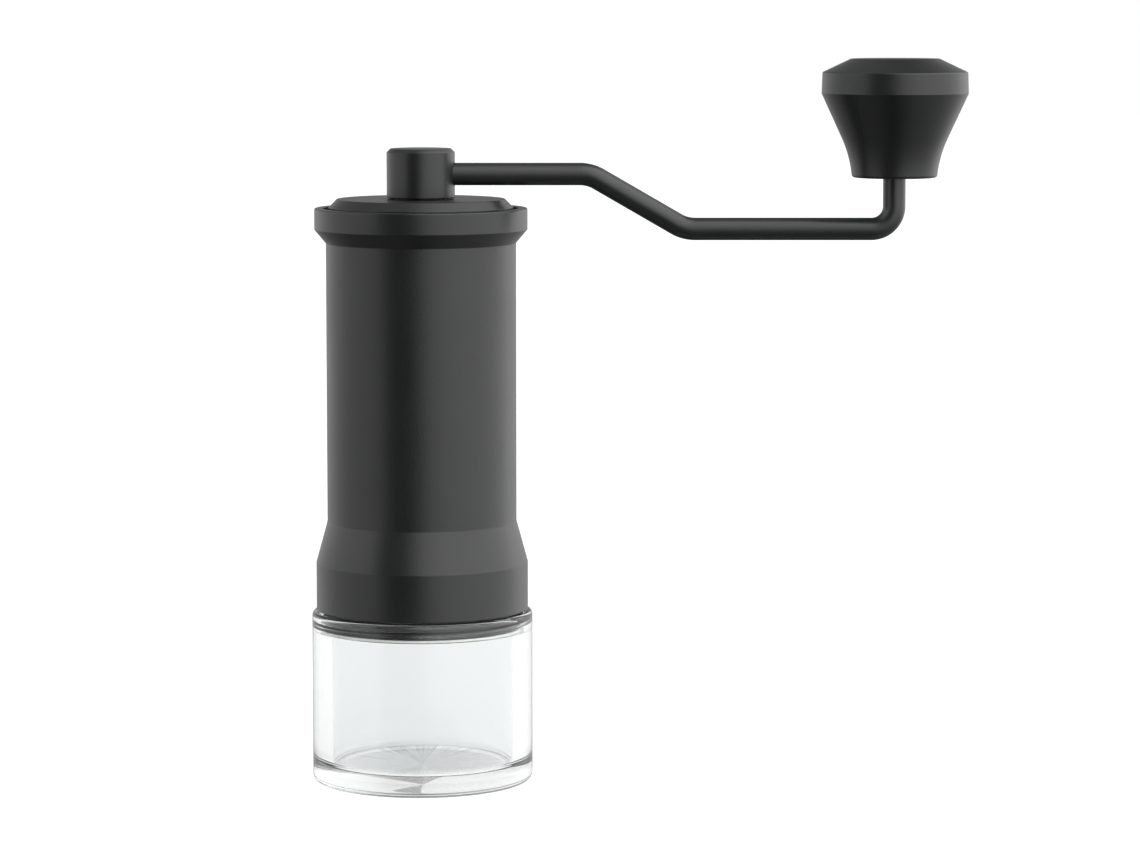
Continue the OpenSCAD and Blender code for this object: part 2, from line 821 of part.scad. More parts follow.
// A round rod along corner points in the plane, each corner bent to its own radius. The bends are a hair
// thicker than the straight runs, which reach a little way in to them.
module bent_rod(points, radii, r) {
    swell = 0.01;
    reach = 0.2;
    last = len(points) - 1;
    function way(i) = unit(points[i + 1] - points[i]);
    function turn(i) = asin(cross2(way(i - 1), way(i)));
    function tangent(i) = i == 0 || i == last ? 0 : radii[i - 1] * tan(abs(turn(i)) / 2);
    for (i = [0:last - 1]) {
        from = points[i] + way(i) * (tangent(i) - (i == 0 ? 0 : reach));
        to = points[i + 1] - way(i) * (tangent(i + 1) - (i == last - 1 ? 0 : reach));
        translate([from[0], from[1], 0])
        rotate([0, 0, atan2(way(i)[1], way(i)[0])])
        rotate([0, 90, 0])
        cylinder(r = r, h = norm(to - from));
    }
    for (i = [1:last - 1]) {
        side = sign(turn(i));
        start = points[i] - way(i - 1) * tangent(i);
        centre = start + normal(way(i - 1), side) * radii[i - 1];
        a = atan2(start[1] - centre[1], start[0] - centre[0]);
        translate([centre[0], centre[1], 0])
        rotate([0, 0, side > 0 ? a : a + turn(i)])
        rotate_extrude(angle = abs(turn(i)))
        translate([radii[i - 1], 0])
        circle(r = r + swell);
    }
}

module crank_arm() {
    low_x = bend_x + rod_drop / tan(slope);
    color([0.12, 0.12, 0.12])
    difference() {
        union() {
            rotate([90, 0, 0])
            bent_rod(
                [[-rod_inset, z_rod], [bend_x, z_rod], [low_x, z_low_run], [crank_r, z_low_run],
                    [crank_r, z_spindle]],
                [bend_r, bend_r, stem_r], rod_r
            );
            translate([crank_r, 0, z_spindle]) cylinder(r = spindle_r, h = z_spindle_top - z_spindle);
        }
        translate([crank_r, 0, z_spindle_top - 9]) cylinder(r = 1.5, h = 10);
    }
}

// ---- Knob ----

module knob_body() {
    shoulder = [knob_r - 0.3, z_knob_band - 0.3];
    foot = [foot_r + 0.1, z_knob + foot_round];
    rise = knee * (shoulder[1] - foot[1]);
    knee_point = foot + rise * [tan(foot_angle), 1];
    flank = curve(foot, knee_point, knee_point + rise * 1.1 * unit(shoulder - knee_point), 10);
    color([0.13, 0.13, 0.13])
    translate([crank_r, 0, 0])
    difference() {
        rotate_extrude()
        polygon(concat(
            [[0, z_knob], foot - [foot_round, foot_round], foot - [0.3, 0.7]],
            flank,
            [shoulder, [knob_r, z_knob_band + 0.4],
                [knob_r - knob_draft, z_knob_band + knob_band_h - 0.3],
                [knob_r - knob_draft - 0.3, z_knob_band + knob_band_h],
                [knob_cap_d / 2 + 0.3, z_knob_top], [0, z_knob_top]]
        ));
        translate([0, 0, z_knob - 1]) cylinder(r = knob_bush_r, h = knob_h);
        translate([0, 0, z_knob - 1]) cylinder(r = knob_flange_r, h = 1 + knob_flange_t);
        translate([0, 0, z_pocket - knob_flange_t]) cylinder(r = knob_flange_r, h = 2);
        translate([0, 0, z_pocket]) cylinder(r = pocket_r, h = knob_h);
        translate([0, 0, z_knob_top - knob_cap_t]) cylinder(r = knob_cap_d / 2, h = knob_cap_t + 1);
    }
}

module knob_cap() {
    cap_r = knob_cap_d / 2 - bearing_fit;
    color([0.15, 0.15, 0.15])
    translate([crank_r, 0, 0])
    rotate_extrude()
    polygon([
        [0, z_knob_top - knob_cap_t], [cap_r, z_knob_top - knob_cap_t], [cap_r, z_knob_top - 0.2],
        [cap_r - 0.2, z_knob_top], [0, z_knob_top]
    ]);
}

module flanged_bush() {
    difference() {
        union() {
            cylinder(r = knob_flange_r, h = knob_flange_t);
            cylinder(r = knob_bush_r, h = knob_bush_l);
        }
        translate([0, 0, -1]) cylinder(r = spindle_r + run_gap, h = knob_bush_l + 2);
    }
}

module knob_lower_bush() {
    color([0.85, 0.84, 0.8])
    translate([crank_r, 0, z_knob]) flanged_bush();
}

module knob_upper_bush() {
    color([0.85, 0.84, 0.8])
    translate([crank_r, 0, z_pocket]) mirror([0, 0, 1]) flanged_bush();
}

module knob_screw() {
    color([0.75, 0.75, 0.76])
    translate([crank_r, 0, z_spindle_top + washer_t])
    mirror([0, 0, 1])
    hex_drive_screw(1.5 - bearing_fit, 8, 2.75, 1.8, 1.1);
}

module knob_washer() {
    color([0.75, 0.75, 0.76])
    translate([crank_r, 0, z_spindle_top]) ring(knob_flange_r - 0.2, 1.6, washer_t);
}

// ---- Jar ----

module jar_seal() {
    color([0.85, 0.85, 0.83])
    translate([0, 0, z_seal]) ring(jar_crest_r - 0.15, jar_bore_r + 0.2, seal_t);
}

module jar() {
    edge = arc([jar_r - jar_edge, jar_edge], jar_edge, -90, 0, 6);
    rim = arc([jar_r - rim_round, jar_h - rim_round], rim_round, 0, 90, 4);
    corner = arc([jar_bore_r - jar_corner, jar_floor + jar_corner], jar_corner, 0, -90, 5);
    color([0.85, 0.9, 0.92, 0.4])
    union() {
        rotate_extrude()
        polygon(concat(
            [[0, 0]], edge, rim,
            [[mouth_r + 0.3, jar_h], [mouth_r, jar_h - 0.3], [mouth_r, z_mouth], [jar_bore_r, z_mouth]],
            corner, [[0, jar_floor]]
        ));
        translate([0, 0, z_jar_thread]) thread_ridge(mouth_r + 0.2, jar_crest_r, female_turns, 90);
    }
}

body_shell();
skirt_ring();
burr_carrier();
ring_burr();
burr_retainer();
retainer_screws();
bearing_bridge();
bridge_snap_ring();
at_upper() outer_race();  // upper_bearing_outer
at_upper() shields();  // upper_bearing_shields
at_lower() outer_race();  // lower_bearing_outer
at_lower() shields();  // lower_bearing_shields
at_upper() ball_set();  // upper_bearing_balls
at_upper() ball_cage();  // upper_bearing_cage
at_lower() ball_set();  // lower_bearing_balls
at_lower() ball_cage();  // lower_bearing_cage
drive_shaft();
at_upper() inner_race();  // upper_bearing_inner
at_lower() inner_race();  // lower_bearing_inner
shaft_clips();
dial_stop_clip();
spring_washer();
burr_spring();
cone_burr();
click_carrier();
click_springs();
click_balls();
grind_dial();
lid_cap();
lid_base();
lid_o_ring();
lid_bush();
crank_hub();
hub_set_screw();
hub_clip();
crank_arm();
knob_screw();
knob_washer();
knob_body();
knob_cap();
knob_lower_bush();
knob_upper_bush();
jar_seal();
jar();
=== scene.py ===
"""A hand crank coffee grinder on a studio table.

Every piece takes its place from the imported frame. Sizes in the outlines are in millimetres.
"""

import json
import math

import bpy
import numpy as np
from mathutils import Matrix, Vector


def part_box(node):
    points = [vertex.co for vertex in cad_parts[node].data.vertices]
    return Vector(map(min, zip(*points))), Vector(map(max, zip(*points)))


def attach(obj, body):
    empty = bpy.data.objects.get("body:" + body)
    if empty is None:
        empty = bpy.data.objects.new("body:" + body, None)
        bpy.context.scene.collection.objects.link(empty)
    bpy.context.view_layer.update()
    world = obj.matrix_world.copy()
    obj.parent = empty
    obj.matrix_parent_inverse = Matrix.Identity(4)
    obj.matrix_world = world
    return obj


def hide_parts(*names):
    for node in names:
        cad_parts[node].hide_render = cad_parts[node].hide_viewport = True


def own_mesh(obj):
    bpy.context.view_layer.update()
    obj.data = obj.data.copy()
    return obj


bl_info = {
    "name": "Hand Crank Coffee Grinder",
    "version": (1, 0, 0),
    "blender": (4, 5, 0),
    "location": "3D View > Sidebar > Grinder",
    "description": "Pieces, finishes and studio stage of a hand crank coffee grinder",
    "category": "Object",
}

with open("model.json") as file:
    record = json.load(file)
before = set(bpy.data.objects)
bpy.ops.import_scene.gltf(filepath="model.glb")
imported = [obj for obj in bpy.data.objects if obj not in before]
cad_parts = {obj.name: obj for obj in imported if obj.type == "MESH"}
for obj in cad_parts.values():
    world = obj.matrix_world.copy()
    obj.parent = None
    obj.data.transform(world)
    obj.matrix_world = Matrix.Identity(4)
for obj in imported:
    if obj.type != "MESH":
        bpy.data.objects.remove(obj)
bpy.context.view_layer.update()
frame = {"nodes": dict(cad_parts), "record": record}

MM = 0.001
SLIDE = 0.1  # clearance of a piece slid into its bore
RUN = 0.05  # clearance of a spigot that turns in its bore
TOUCH = 0.02  # gap left between pieces that touch
THREAD_END = 0.9  # plain length below and above the skirt's thread
CLICK_R = 7.5  # radius of the ring that the click balls stand on


# ---- Sizes from the frame ----


def span(node):
    """A turned piece's radius about its own axis, and its lowest and highest point."""
    low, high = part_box(node)
    return (high.y - low.y) / 2 / MM, low.z / MM, high.z / MM


def axis_x(node):
    """Where a turned piece's own axis stands."""
    low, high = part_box(node)
    return (low.x + high.x) / 2 / MM


SHELL_R, SHELL_LOW, SHELL_TOP = span("body_shell")
LOW_BORE_R = span("burr_retainer")[0] + SLIDE
MOUTH_BORE_R = span("bearing_bridge")[0] + SLIDE
JAR_R, JAR_LOW, JAR_TOP = span("jar")
KNOB_R, KNOB_LOW, KNOB_TOP = span("knob_body")
KNOB_X = axis_x("knob_body")
SHAFT_R = span("drive_shaft")[0]


# ---- Settings ----


def millimetres(name, description, default, **limits):
    """A length that a user may change, kept in metres as Blender keeps its own."""
    return bpy.props.FloatProperty(
        name=name, description=description, default=default * MM, subtype="DISTANCE", unit="LENGTH", **limits
    )


def colour(name, description, code):
    """A colour that a user may change, given as an sRGB hex code."""
    return bpy.props.FloatVectorProperty(
        name=name, description=description, default=linear(code)[:3], subtype="COLOR", min=0, max=1
    )


def brightness(name, description, default):
    """The strength of a light that a user may change."""
    return bpy.props.FloatProperty(name=name, description=description, default=default, min=0)


def linear(code):
    """An sRGB hex code as linear red, green, blue and a full alpha."""
    parts = np.array([int(code[i : i + 2], 16) for i in (1, 3, 5)]) / 255
    low = parts / 12.92
    high = ((parts + 0.055) / 1.055) ** 2.4
    return (*np.where(parts <= 0.04045, low, high).tolist(), 1.0)


class GrinderShape(bpy.types.PropertyGroup):
    """Sizes that the frame's boxes don't give."""

    edge: millimetres("Edge", "Round on the edges of turned pieces", 0.22, min=0)
    bridge_step: millimetres("Bridge step", "Width of the step that the bearing bridge rests on", 0.8, min=0)
    tube_wall: millimetres("Tube wall", "Wall of the body's tube", 2.25, min=0)
    band_height: millimetres("Band height", "Height of the band over the jar", 12.7, min=0)
    flare_height: millimetres("Flare height", "Height of the cone between band and tube", 11.1, min=0)
    collar_height: millimetres("Collar height", "Height of the collar round the lid", 5.8, min=0)
    taper_height: millimetres("Taper height", "Height of the cone under the collar", 3.6, min=0)
    recess_depth: millimetres("Recess depth", "Depth of the recess that the lid sits in", 1.8, min=0)
    lid_chamfer: millimetres("Lid chamfer", "Width and height of the lid's chamfer", 2.2, min=0)
    jar_wall: millimetres("Jar wall", "Wall of the jar", 5.3, min=0)
    rim_wall: millimetres("Rim wall", "Wall of the jar's threaded mouth", 2.2, min=0)
    jar_floor: millimetres("Jar floor", "Thickness of the jar's floor", 5.0, min=0)
    mouth_depth: millimetres("Mouth depth", "Depth of the jar's threaded mouth", 5.0, min=0)
    lead_in: millimetres("Lead-in", "Cone inside the jar's rim that leads the skirt in", 0.9, min=0)
    thread_pitch: millimetres("Thread pitch", "Pitch of the jar thread", 2.4, min=0)
    thread_depth: millimetres("Thread depth", "Height of the skirt's thread", 0.8, min=0)
    jar_thread: millimetres("Jar thread", "Height of the low round thread in the jar's mouth", 0.35, min=0)
    jar_thread_foot: millimetres("Jar thread foot", "Half width of the jar's thread", 1.0, min=0)
    knob_band: millimetres("Knob band", "Height of the knob's band", 5.6, min=0)
    knob_crown: millimetres("Knob crown", "Height of the cone above the knob's band", 3.6, min=0)
    knob_foot: millimetres("Knob foot", "Diameter of the knob's lower face", 22.6, min=0)


class GrinderFinish(bpy.types.PropertyGroup):
    """Colours of the finishes."""

    anodised: colour("Anodised", "Black anodised aluminium", "#191a1b")
    coated: colour("Coated", "Black coated steel rod", "#242526")
    plastic: colour("Plastic", "Moulded black plastic", "#1c1c1d")
    jar: colour("Jar", "Clear moulded plastic", "#eceeee")
    tool_steel: colour("Tool steel", "Ground burr steel", "#8c8a86")
    aluminium: colour("Aluminium", "Bead-blasted aluminium", "#b9babc")
    stainless: colour("Stainless", "Turned stainless steel", "#a8a7a5")
    bearing: colour("Bearing steel", "Polished bearing steel", "#c3c4c6")
    spring: colour("Spring steel", "Oiled spring steel", "#5a5856")
    brass: colour("Brass", "Satin brass", "#c39a52")
    acetal: colour("Acetal", "Moulded white acetal", "#e6e3da")
    silicone: colour("Silicone", "Moulded silicone", "#f0f0ec")


class GrinderStage(bpy.types.PropertyGroup):
    """Light and camera."""

    left: brightness("Left light", "Strength of the left light", 1.0)
    right: brightness("Right light", "Strength of the right light", 1.75)
    gap: brightness("Gap", "Light left in the dark gap between them", 0.05)
    overhead: brightness("Overhead light", "Strength of the soft light over the table", 0.5)
    lens: bpy.props.FloatProperty(
        name="Lens", description="Focal length", default=127.3, min=1, unit="CAMERA"
    )
    distance: millimetres("Distance", "From the grinder's axis forward to the camera", 1073.3, min=0)
    height: millimetres("Height", "Height of the camera above the table", 211.4)
    across: millimetres("Across", "From the grinder's axis sideways to the camera", 39.7)
    tilt: bpy.props.FloatProperty(
        name="Tilt", description="How far the camera looks down", default=math.radians(6.18), subtype="ANGLE"
    )


def size(name):
    """One of the shape settings, in millimetres."""
    return getattr(bpy.context.scene.grinder_shape, name) / MM


def tint(name):
    """One of the finish colours with a full alpha."""
    return (*getattr(bpy.context.scene.grinder_finish, name), 1.0)


# ---- Surfaces ----


def rounded(corners, steps=4, closed=True):
    """An outline with rounded corners.

    A corner is a place and a round. Its arc touches both sides: the centre lies on the bisector, round /
    sin(half the corner's angle) away, and the arc's points are the blend of its two end spokes that keeps
    their length. One more point a little way along each side keeps the shading flat up to the arc.
    """
    corners = np.asarray(corners, float)
    here, size_of = corners[:, :2], corners[:, 2]
    back = np.roll(here, 1, 0) - here
    ahead = np.roll(here, -1, 0) - here
    room_back = np.linalg.norm(back, axis=1)
    room_ahead = np.linalg.norm(ahead, axis=1)
    back = back / room_back[:, None]
    ahead = ahead / room_ahead[:, None]
    half = np.arccos(np.clip((back * ahead).sum(1), -1, 1)) / 2
    tangent = size_of / np.tan(half)
    fits_ahead = np.minimum(1, 0.9 * room_ahead / np.maximum(tangent + np.roll(tangent, -1), 1e-6))
    tangent = tangent * np.minimum(fits_ahead, np.roll(fits_ahead, 1))
    round_of = tangent * np.tan(half)
    bisector = back + ahead
    bisector = bisector / np.linalg.norm(bisector, axis=1)[:, None]
    centre = here + bisector * (round_of / np.sin(half))[:, None]
    first = here + back * tangent[:, None] - centre
    last = here + ahead * tangent[:, None] - centre
    sweep = np.pi - 2 * half
    share = np.linspace(0, 1, steps + 1)[None, :]
    from_first = np.sin((1 - share) * sweep[:, None]) / np.sin(sweep)[:, None]
    from_last = np.sin(share * sweep[:, None]) / np.sin(sweep)[:, None]
    arcs = centre[:, None] + from_first[..., None] * first[:, None] + from_last[..., None] * last[:, None]
    left_ahead = np.minimum(0.12, (room_ahead - tangent - np.roll(tangent, -1)) * 0.4)
    after = here + ahead * (tangent + left_ahead)[:, None]
    before = here + back * (tangent + np.roll(left_ahead, 1))[:, None]
    points = np.concatenate([before[:, None], arcs, after[:, None]], axis=1)
    if closed:
        return points.reshape(-1, 2)
    return np.concatenate([here[:1], after[:1], points[1:-1].reshape(-1, 2), before[-1:], here[-1:]])


def divided(outline, step, low, high):
    """The outline with each side that lies between two heights cut into even lengths of step at most."""
    ahead = np.roll(outline, -1, 0)
    foot = np.minimum(outline[:, 1], ahead[:, 1])
    head = np.maximum(outline[:, 1], ahead[:, 1])
    length = np.linalg.norm(ahead - outline, axis=1)
    parts = np.where((foot >= low) & (head <= high), np.ceil(length / step), 1).astype(int)
    parts = np.maximum(parts, 1)
    number = np.arange(parts.sum()) - np.repeat(np.cumsum(parts) - parts, parts)
    share = number / np.repeat(parts, parts)
    return np.repeat(outline, parts, 0) + np.repeat(ahead - outline, parts, 0) * share[:, None]


def surface(name, points, ring=True):
    """A mesh through a grid of points.

    The columns close on themselves, and so do the rows where ring is true. Each face joins a point, the
    next in its row, and the two above them. Without ring, each end row is one point, a pole of triangles.
    """
    rows, columns = points.shape[:2]
    index = np.arange(rows * columns).reshape(rows, columns)
    if not ring:
        index[0] = index[0, 0]
        index[-1] = index[-1, 0]
    beside = np.roll(index, -1, 1)
    if ring:
        above, above_beside = np.roll(index, -1, 0), np.roll(beside, -1, 0)
    else:
        index, beside, above, above_beside = index[:-1], beside[:-1], index[1:], beside[1:]
    faces = np.stack([index, beside, above_beside, above], -1).reshape(-1, 4)
    used, faces = np.unique(faces, return_inverse=True)
    faces = faces.reshape(-1, 4)
    low_pole = faces[:, 0] == faces[:, 1]
    high_pole = faces[:, 2] == faces[:, 3]
    triangles = np.concatenate([faces[low_pole][:, [0, 2, 3]], faces[high_pole][:, [0, 1, 2]]])
    squares = faces[~low_pole & ~high_pole]
    places = points.reshape(-1, 3)[used] * MM
    mesh = bpy.data.meshes.new(name)
    mesh.from_pydata(places.tolist(), [], squares.tolist() + triangles.tolist())
    mesh.polygons.foreach_set("use_smooth", np.ones(len(mesh.polygons), bool))
    mesh.validate()
    obj = bpy.data.objects.new(name, mesh)
    bpy.context.scene.collection.objects.link(obj)
    return obj


def turned(name, outline, x=0.0, sides=192, shape=None, ring=True):
    """A surface of revolution: the outline's point (r, z) at turn a stands at (x + r cos a, r sin a, z).

    shape, where it is given, changes r and z first, from r, z and a.
    """
    turn = np.linspace(0, 2 * np.pi, sides, endpoint=False)[None, :]
    radius = outline[:, :1] + 0 * turn
    height = outline[:, 1:] + 0 * turn
    if shape:
        radius, height = shape(radius, height, turn)
    points = np.stack([x + radius * np.cos(turn), radius * np.sin(turn), height], -1)
    return surface(name, points, ring)


def washer(name, inner_r, outer_r, low, high, edge, **more):
    """A flat ring: the rectangle between two radii and two heights, with rounded edges, turned."""
    corners = [(inner_r, low, edge), (outer_r, low, edge), (outer_r, high, edge), (inner_r, high, edge)]
    return turned(name, rounded(corners), **more)


def helix(turn, start_turn, start_height, turns, pitch, height, foot, crest):
    """How far a helical ridge stands out, from 0 to 1, at each turn and height.

    For each pass the ridge's centre is start_height + pitch * (whole and part turns from its start). It
    stands full within crest of that centre, falls smoothly to nothing at foot, and fades at both ends.
    """
    passes = np.arange(math.ceil(turns) + 1)[:, None, None]
    along = ((turn - start_turn) / (2 * np.pi)) % 1 + passes
    off = np.abs(height - (start_height + pitch * along))
    slope = np.clip((foot - off) / (foot - crest), 0, 1)
    run_out = 0.12  # part of a turn in which an end fades
    fade = np.clip(np.minimum(along, turns - along) / run_out, 0, 1)
    stand = slope**2 * (3 - 2 * slope) * fade**2 * (3 - 2 * fade)
    return stand.max(axis=0)


# ---- Finishes ----


def add_node(tree, kind, inputs=None, **settings):
    """Adds a node with its settings.

    inputs gives, for a socket's name or number, its value or the output of another node.
    """
    node = tree.nodes.new(kind)
    for setting, value in settings.items():
        setattr(node, setting, value)
    for socket, value in (inputs or {}).items():
        if isinstance(value, bpy.types.NodeSocket):
            tree.links.new(value, node.inputs[socket])
        else:
            node.inputs[socket].default_value = value
    return node


def per_mm(length):
    """The noise scale that gives features of one length in millimetres, on coordinates in metres."""
    return 1 / (length * MM)


def empty_material(name):
    """A material with no nodes but its own coordinates: its tree and the coordinates' socket."""
    material = bpy.data.materials.new(name)
    material.use_nodes = True
    tree = material.node_tree
    tree.nodes.clear()
    return material, tree, add_node(tree, "ShaderNodeTexCoord").outputs["Object"]


def noise(tree, place, length, detail=2.0, roughness=0.5):
    """A noise with features of one length in millimetres, from 0 to 1."""
    inputs = {"Vector": place, "Scale": per_mm(length), "Detail": detail, "Roughness": roughness}
    return add_node(tree, "ShaderNodeTexNoise", inputs).outputs["Fac"]


def spread(tree, source, low, high):
    """A noise, which lies mostly between 0.3 and 0.7, spread between two values."""
    inputs = {"Value": source, "From Min": 0.3, "From Max": 0.7, "To Min": low, "To Max": high}
    return add_node(tree, "ShaderNodeMapRange", inputs).outputs["Result"]


def shaded(tree, base, source, low, high):
    """The base colour made a little darker and lighter by a pattern."""
    darker, lighter = ((*(part * share for part in base[:3]), 1.0) for share in (low, high))
    inputs = {"Factor": source, "A": darker, "B": lighter}
    return add_node(tree, "ShaderNodeMix", inputs, data_type="RGBA").outputs["Result"]


def raised(tree, source, height, strength=1.0, under=None):
    """A bump whose pattern is height millimetres deep, over another bump where under is given."""
    inputs = {"Height": source, "Distance": height * MM, "Strength": strength}
    if under:
        inputs["Normal"] = under
    return add_node(tree, "ShaderNodeBump", inputs).outputs["Normal"]


def close(tree, inputs):
    """The surface shader and the output that end a material."""
    shader = add_node(tree, "ShaderNodeBsdfPrincipled", inputs)
    add_node(tree, "ShaderNodeOutputMaterial", {"Surface": shader.outputs["BSDF"]})


def blasted_anodised_aluminium():
    """Aluminium bead-blasted, then anodised black.

    The blasting leaves a fine even grain, drawn at 0.5 mm because the real 0.1 mm is too fine to show. The
    dye is a little uneven, and handling leaves faint smoother patches.
    """
    material, tree, place = empty_material("blasted_black_anodised_aluminium")
    grain = noise(tree, place, 0.5, 3)
    dye = noise(tree, place, 9, 3)
    handled = noise(tree, place, 22, 4, 0.6)
    close(tree, {
        "Base Color": shaded(tree, tint("anodised"), dye, 0.85, 1.15),
        "Roughness": spread(tree, handled, 0.29, 0.35),
        "IOR": 1.5,
        "Normal": raised(tree, grain, 0.03, 0.7),
    })
    return material


def coated_steel_rod():
    """Round steel bar under a baked black coating.

    The coating flows a little before it sets, so it has a soft orange peel about 1.6 mm wide under a
    fine grain.
    """
    material, tree, place = empty_material("baked_black_coated_steel")
    peel = raised(tree, noise(tree, place, 1.6, 1), 0.01, 0.35)
    close(tree, {
        "Base Color": shaded(tree, tint("coated"), noise(tree, place, 7, 3), 0.85, 1.15),
        "Roughness": spread(tree, noise(tree, place, 14, 4, 0.6), 0.28, 0.34),
        "IOR": 1.5,
        "Normal": raised(tree, noise(tree, place, 0.4, 2), 0.008, 0.4, peel),
    })
    return material


def moulded_black_plastic():
    """ABS moulded in a spark-textured tool: an even 0.4 mm texture that spreads the highlights."""
    material, tree, place = empty_material("moulded_black_abs")
    texture = add_node(
        tree, "ShaderNodeTexVoronoi", {"Vector": place, "Scale": per_mm(0.4)}, feature="SMOOTH_F1"
    ).outputs["Distance"]
    close(tree, {
        "Base Color": shaded(tree, tint("plastic"), noise(tree, place, 5, 3), 0.9, 1.1),
        "Roughness": spread(tree, noise(tree, place, 3, 3), 0.5, 0.6),
        "IOR": 1.5,
        "Specular IOR Level": 0.25,
        "Normal": raised(tree, texture, 0.02, 0.4),
    })
    return material


def clear_moulded_copolyester():
    """Clear copolyester moulded in a polished tool.

    Its walls are a hair uneven where the plastic flowed in, over about 16 mm, and fine wear leaves its
    gloss a little uneven.
    """
    material, tree, place = empty_material("clear_moulded_copolyester")
    flow = noise(tree, place, 16, 2)
    wear = noise(tree, place, 2.2, 5, 0.7)
    close(tree, {
        "Base Color": tint("jar"),
        "Roughness": spread(tree, wear, 0.0, 0.03),
        "IOR": 1.48,
        "Transmission Weight": 1.0,
        "Normal": raised(tree, flow, 0.12, 0.25),
    })
    return material


def ground_tool_steel():
    """Hardened tool steel with ground teeth: fine grinding lines round the axis and a faint temper stain.

    A wave of this scale repeats about every 0.3 mm.
    """
    material, tree, place = empty_material("ground_tool_steel")
    lines = add_node(
        tree,
        "ShaderNodeTexWave",
        {"Vector": place, "Scale": per_mm(1.9), "Distortion": 1.5, "Detail": 2.0},
        bands_direction="Z",
    ).outputs["Fac"]
    close(tree, {
        "Base Color": shaded(tree, tint("tool_steel"), noise(tree, place, 6, 4), 0.8, 1.1),
        "Metallic": 1.0,
        "Roughness": spread(tree, noise(tree, place, 1.2, 4), 0.28, 0.42),
        "Normal": raised(tree, lines, 0.01, 0.4),
    })
    return material


def blasted_bare_aluminium():
    """Machined aluminium, bead-blasted and left bare: a bright, even, sparkling matt with a 0.3 mm grain."""
    material, tree, place = empty_material("blasted_bare_aluminium")
    close(tree, {
        "Base Color": shaded(tree, tint("aluminium"), noise(tree, place, 4, 4), 0.88, 1.06),
        "Metallic": 1.0,
        "Roughness": spread(tree, noise(tree, place, 2, 3), 0.42, 0.52),
        "Normal": raised(tree, noise(tree, place, 0.3, 3), 0.02, 0.5),
    })
    return material


def turned_stainless():
    """Stainless steel as it leaves the lathe: tool marks round the work, which stretch the highlights.

    A wave of this scale repeats about every 0.2 mm.
    """
    material, tree, place = empty_material("turned_stainless_steel")
    marks = add_node(
        tree,
        "ShaderNodeTexWave",
        {"Vector": place, "Scale": per_mm(1.3), "Distortion": 0.6, "Detail": 1.0},
        bands_direction="Z",
    ).outputs["Fac"]
    close(tree, {
        "Base Color": shaded(tree, tint("stainless"), noise(tree, place, 3, 3), 0.9, 1.05),
        "Metallic": 1.0,
        "Roughness": spread(tree, noise(tree, place, 1.5, 4), 0.2, 0.32),
        "Normal": raised(tree, marks, 0.006, 0.4),
    })
    return material


def polished_bearing_steel():
    """Chrome bearing steel ground and polished: nearly a mirror, with a thin uneven film of grease."""
    material, tree, place = empty_material("polished_bearing_steel")
    film = noise(tree, place, 1.8, 4, 0.6)
    close(tree, {
        "Base Color": shaded(tree, tint("bearing"), film, 0.92, 1.04),
        "Metallic": 1.0,
        "Roughness": spread(tree, film, 0.08, 0.2),
        "Normal": raised(tree, noise(tree, place, 0.6, 2), 0.002, 0.3),
    })
    return material


def oiled_spring_steel():
    """Spring steel, heat-treated dark and oiled: scale in patches of about 1 mm, smooth where it rubs."""
    material, tree, place = empty_material("oiled_spring_steel")
    scale = noise(tree, place, 1.0, 5, 0.65)
    close(tree, {
        "Base Color": shaded(tree, tint("spring"), scale, 0.7, 1.2),
        "Metallic": 1.0,
        "Roughness": spread(tree, scale, 0.26, 0.42),
        "Normal": raised(tree, scale, 0.004, 0.4),
    })
    return material


def satin_brass():
    """Brass turned and lightly rubbed: soft yellow, with darker tarnish in patches of a few millimetres."""
    material, tree, place = empty_material("satin_brass")
    tarnish = noise(tree, place, 2.5, 5, 0.6)
    close(tree, {
        "Base Color": shaded(tree, tint("brass"), tarnish, 0.78, 1.08),
        "Metallic": 1.0,
        "Roughness": spread(tree, tarnish, 0.26, 0.38),
        "Normal": raised(tree, noise(tree, place, 0.3, 2), 0.004, 0.4),
    })
    return material


def moulded_acetal():
    """White acetal, moulded: waxy and slightly translucent, with a smooth satin skin."""
    material, tree, place = empty_material("moulded_white_acetal")
    close(tree, {
        "Base Color": shaded(tree, tint("acetal"), noise(tree, place, 3, 3), 0.95, 1.02),
        "Roughness": spread(tree, noise(tree, place, 2, 3), 0.32, 0.42),
        "IOR": 1.48,
        "Subsurface Weight": 0.2,
        "Subsurface Radius": (0.001, 0.0009, 0.0008),
        "Normal": raised(tree, noise(tree, place, 0.5, 2), 0.006, 0.3),
    })
    return material


def moulded_silicone():
    """Silicone rubber, moulded: milky, soft-looking, and matt with a dusty bloom."""
    material, tree, place = empty_material("moulded_silicone")
    bloom = noise(tree, place, 1.5, 4)
    close(tree, {
        "Base Color": shaded(tree, tint("silicone"), bloom, 0.94, 1.03),
        "Roughness": spread(tree, bloom, 0.5, 0.62),
        "IOR": 1.41,
        "Subsurface Weight": 0.4,
        "Subsurface Radius": (0.0015, 0.0014, 0.0013),
        "Normal": raised(tree, noise(tree, place, 0.4, 2), 0.008, 0.3),
    })
    return material


def lit_opal_acrylic():
    """A sheet of opal acrylic lit from below, as on a light table.

    It glows evenly, and its fine satin texture takes a faint shadow from the light above.
    """
    material, tree, place = empty_material("lit_opal_acrylic")
    texture = noise(tree, place, 3, 3)
    close(tree, {
        "Base Color": shaded(tree, linear("#a0a0a0"), texture, 0.98, 1.0),
        "Roughness": spread(tree, texture, 0.7, 0.8),
        "Specular IOR Level": 0.0,
        "Emission Color": linear("#ffffff"),
        "Emission Strength": 0.72,
        "Normal": raised(tree, texture, 0.02, 0.05),
    })
    return material


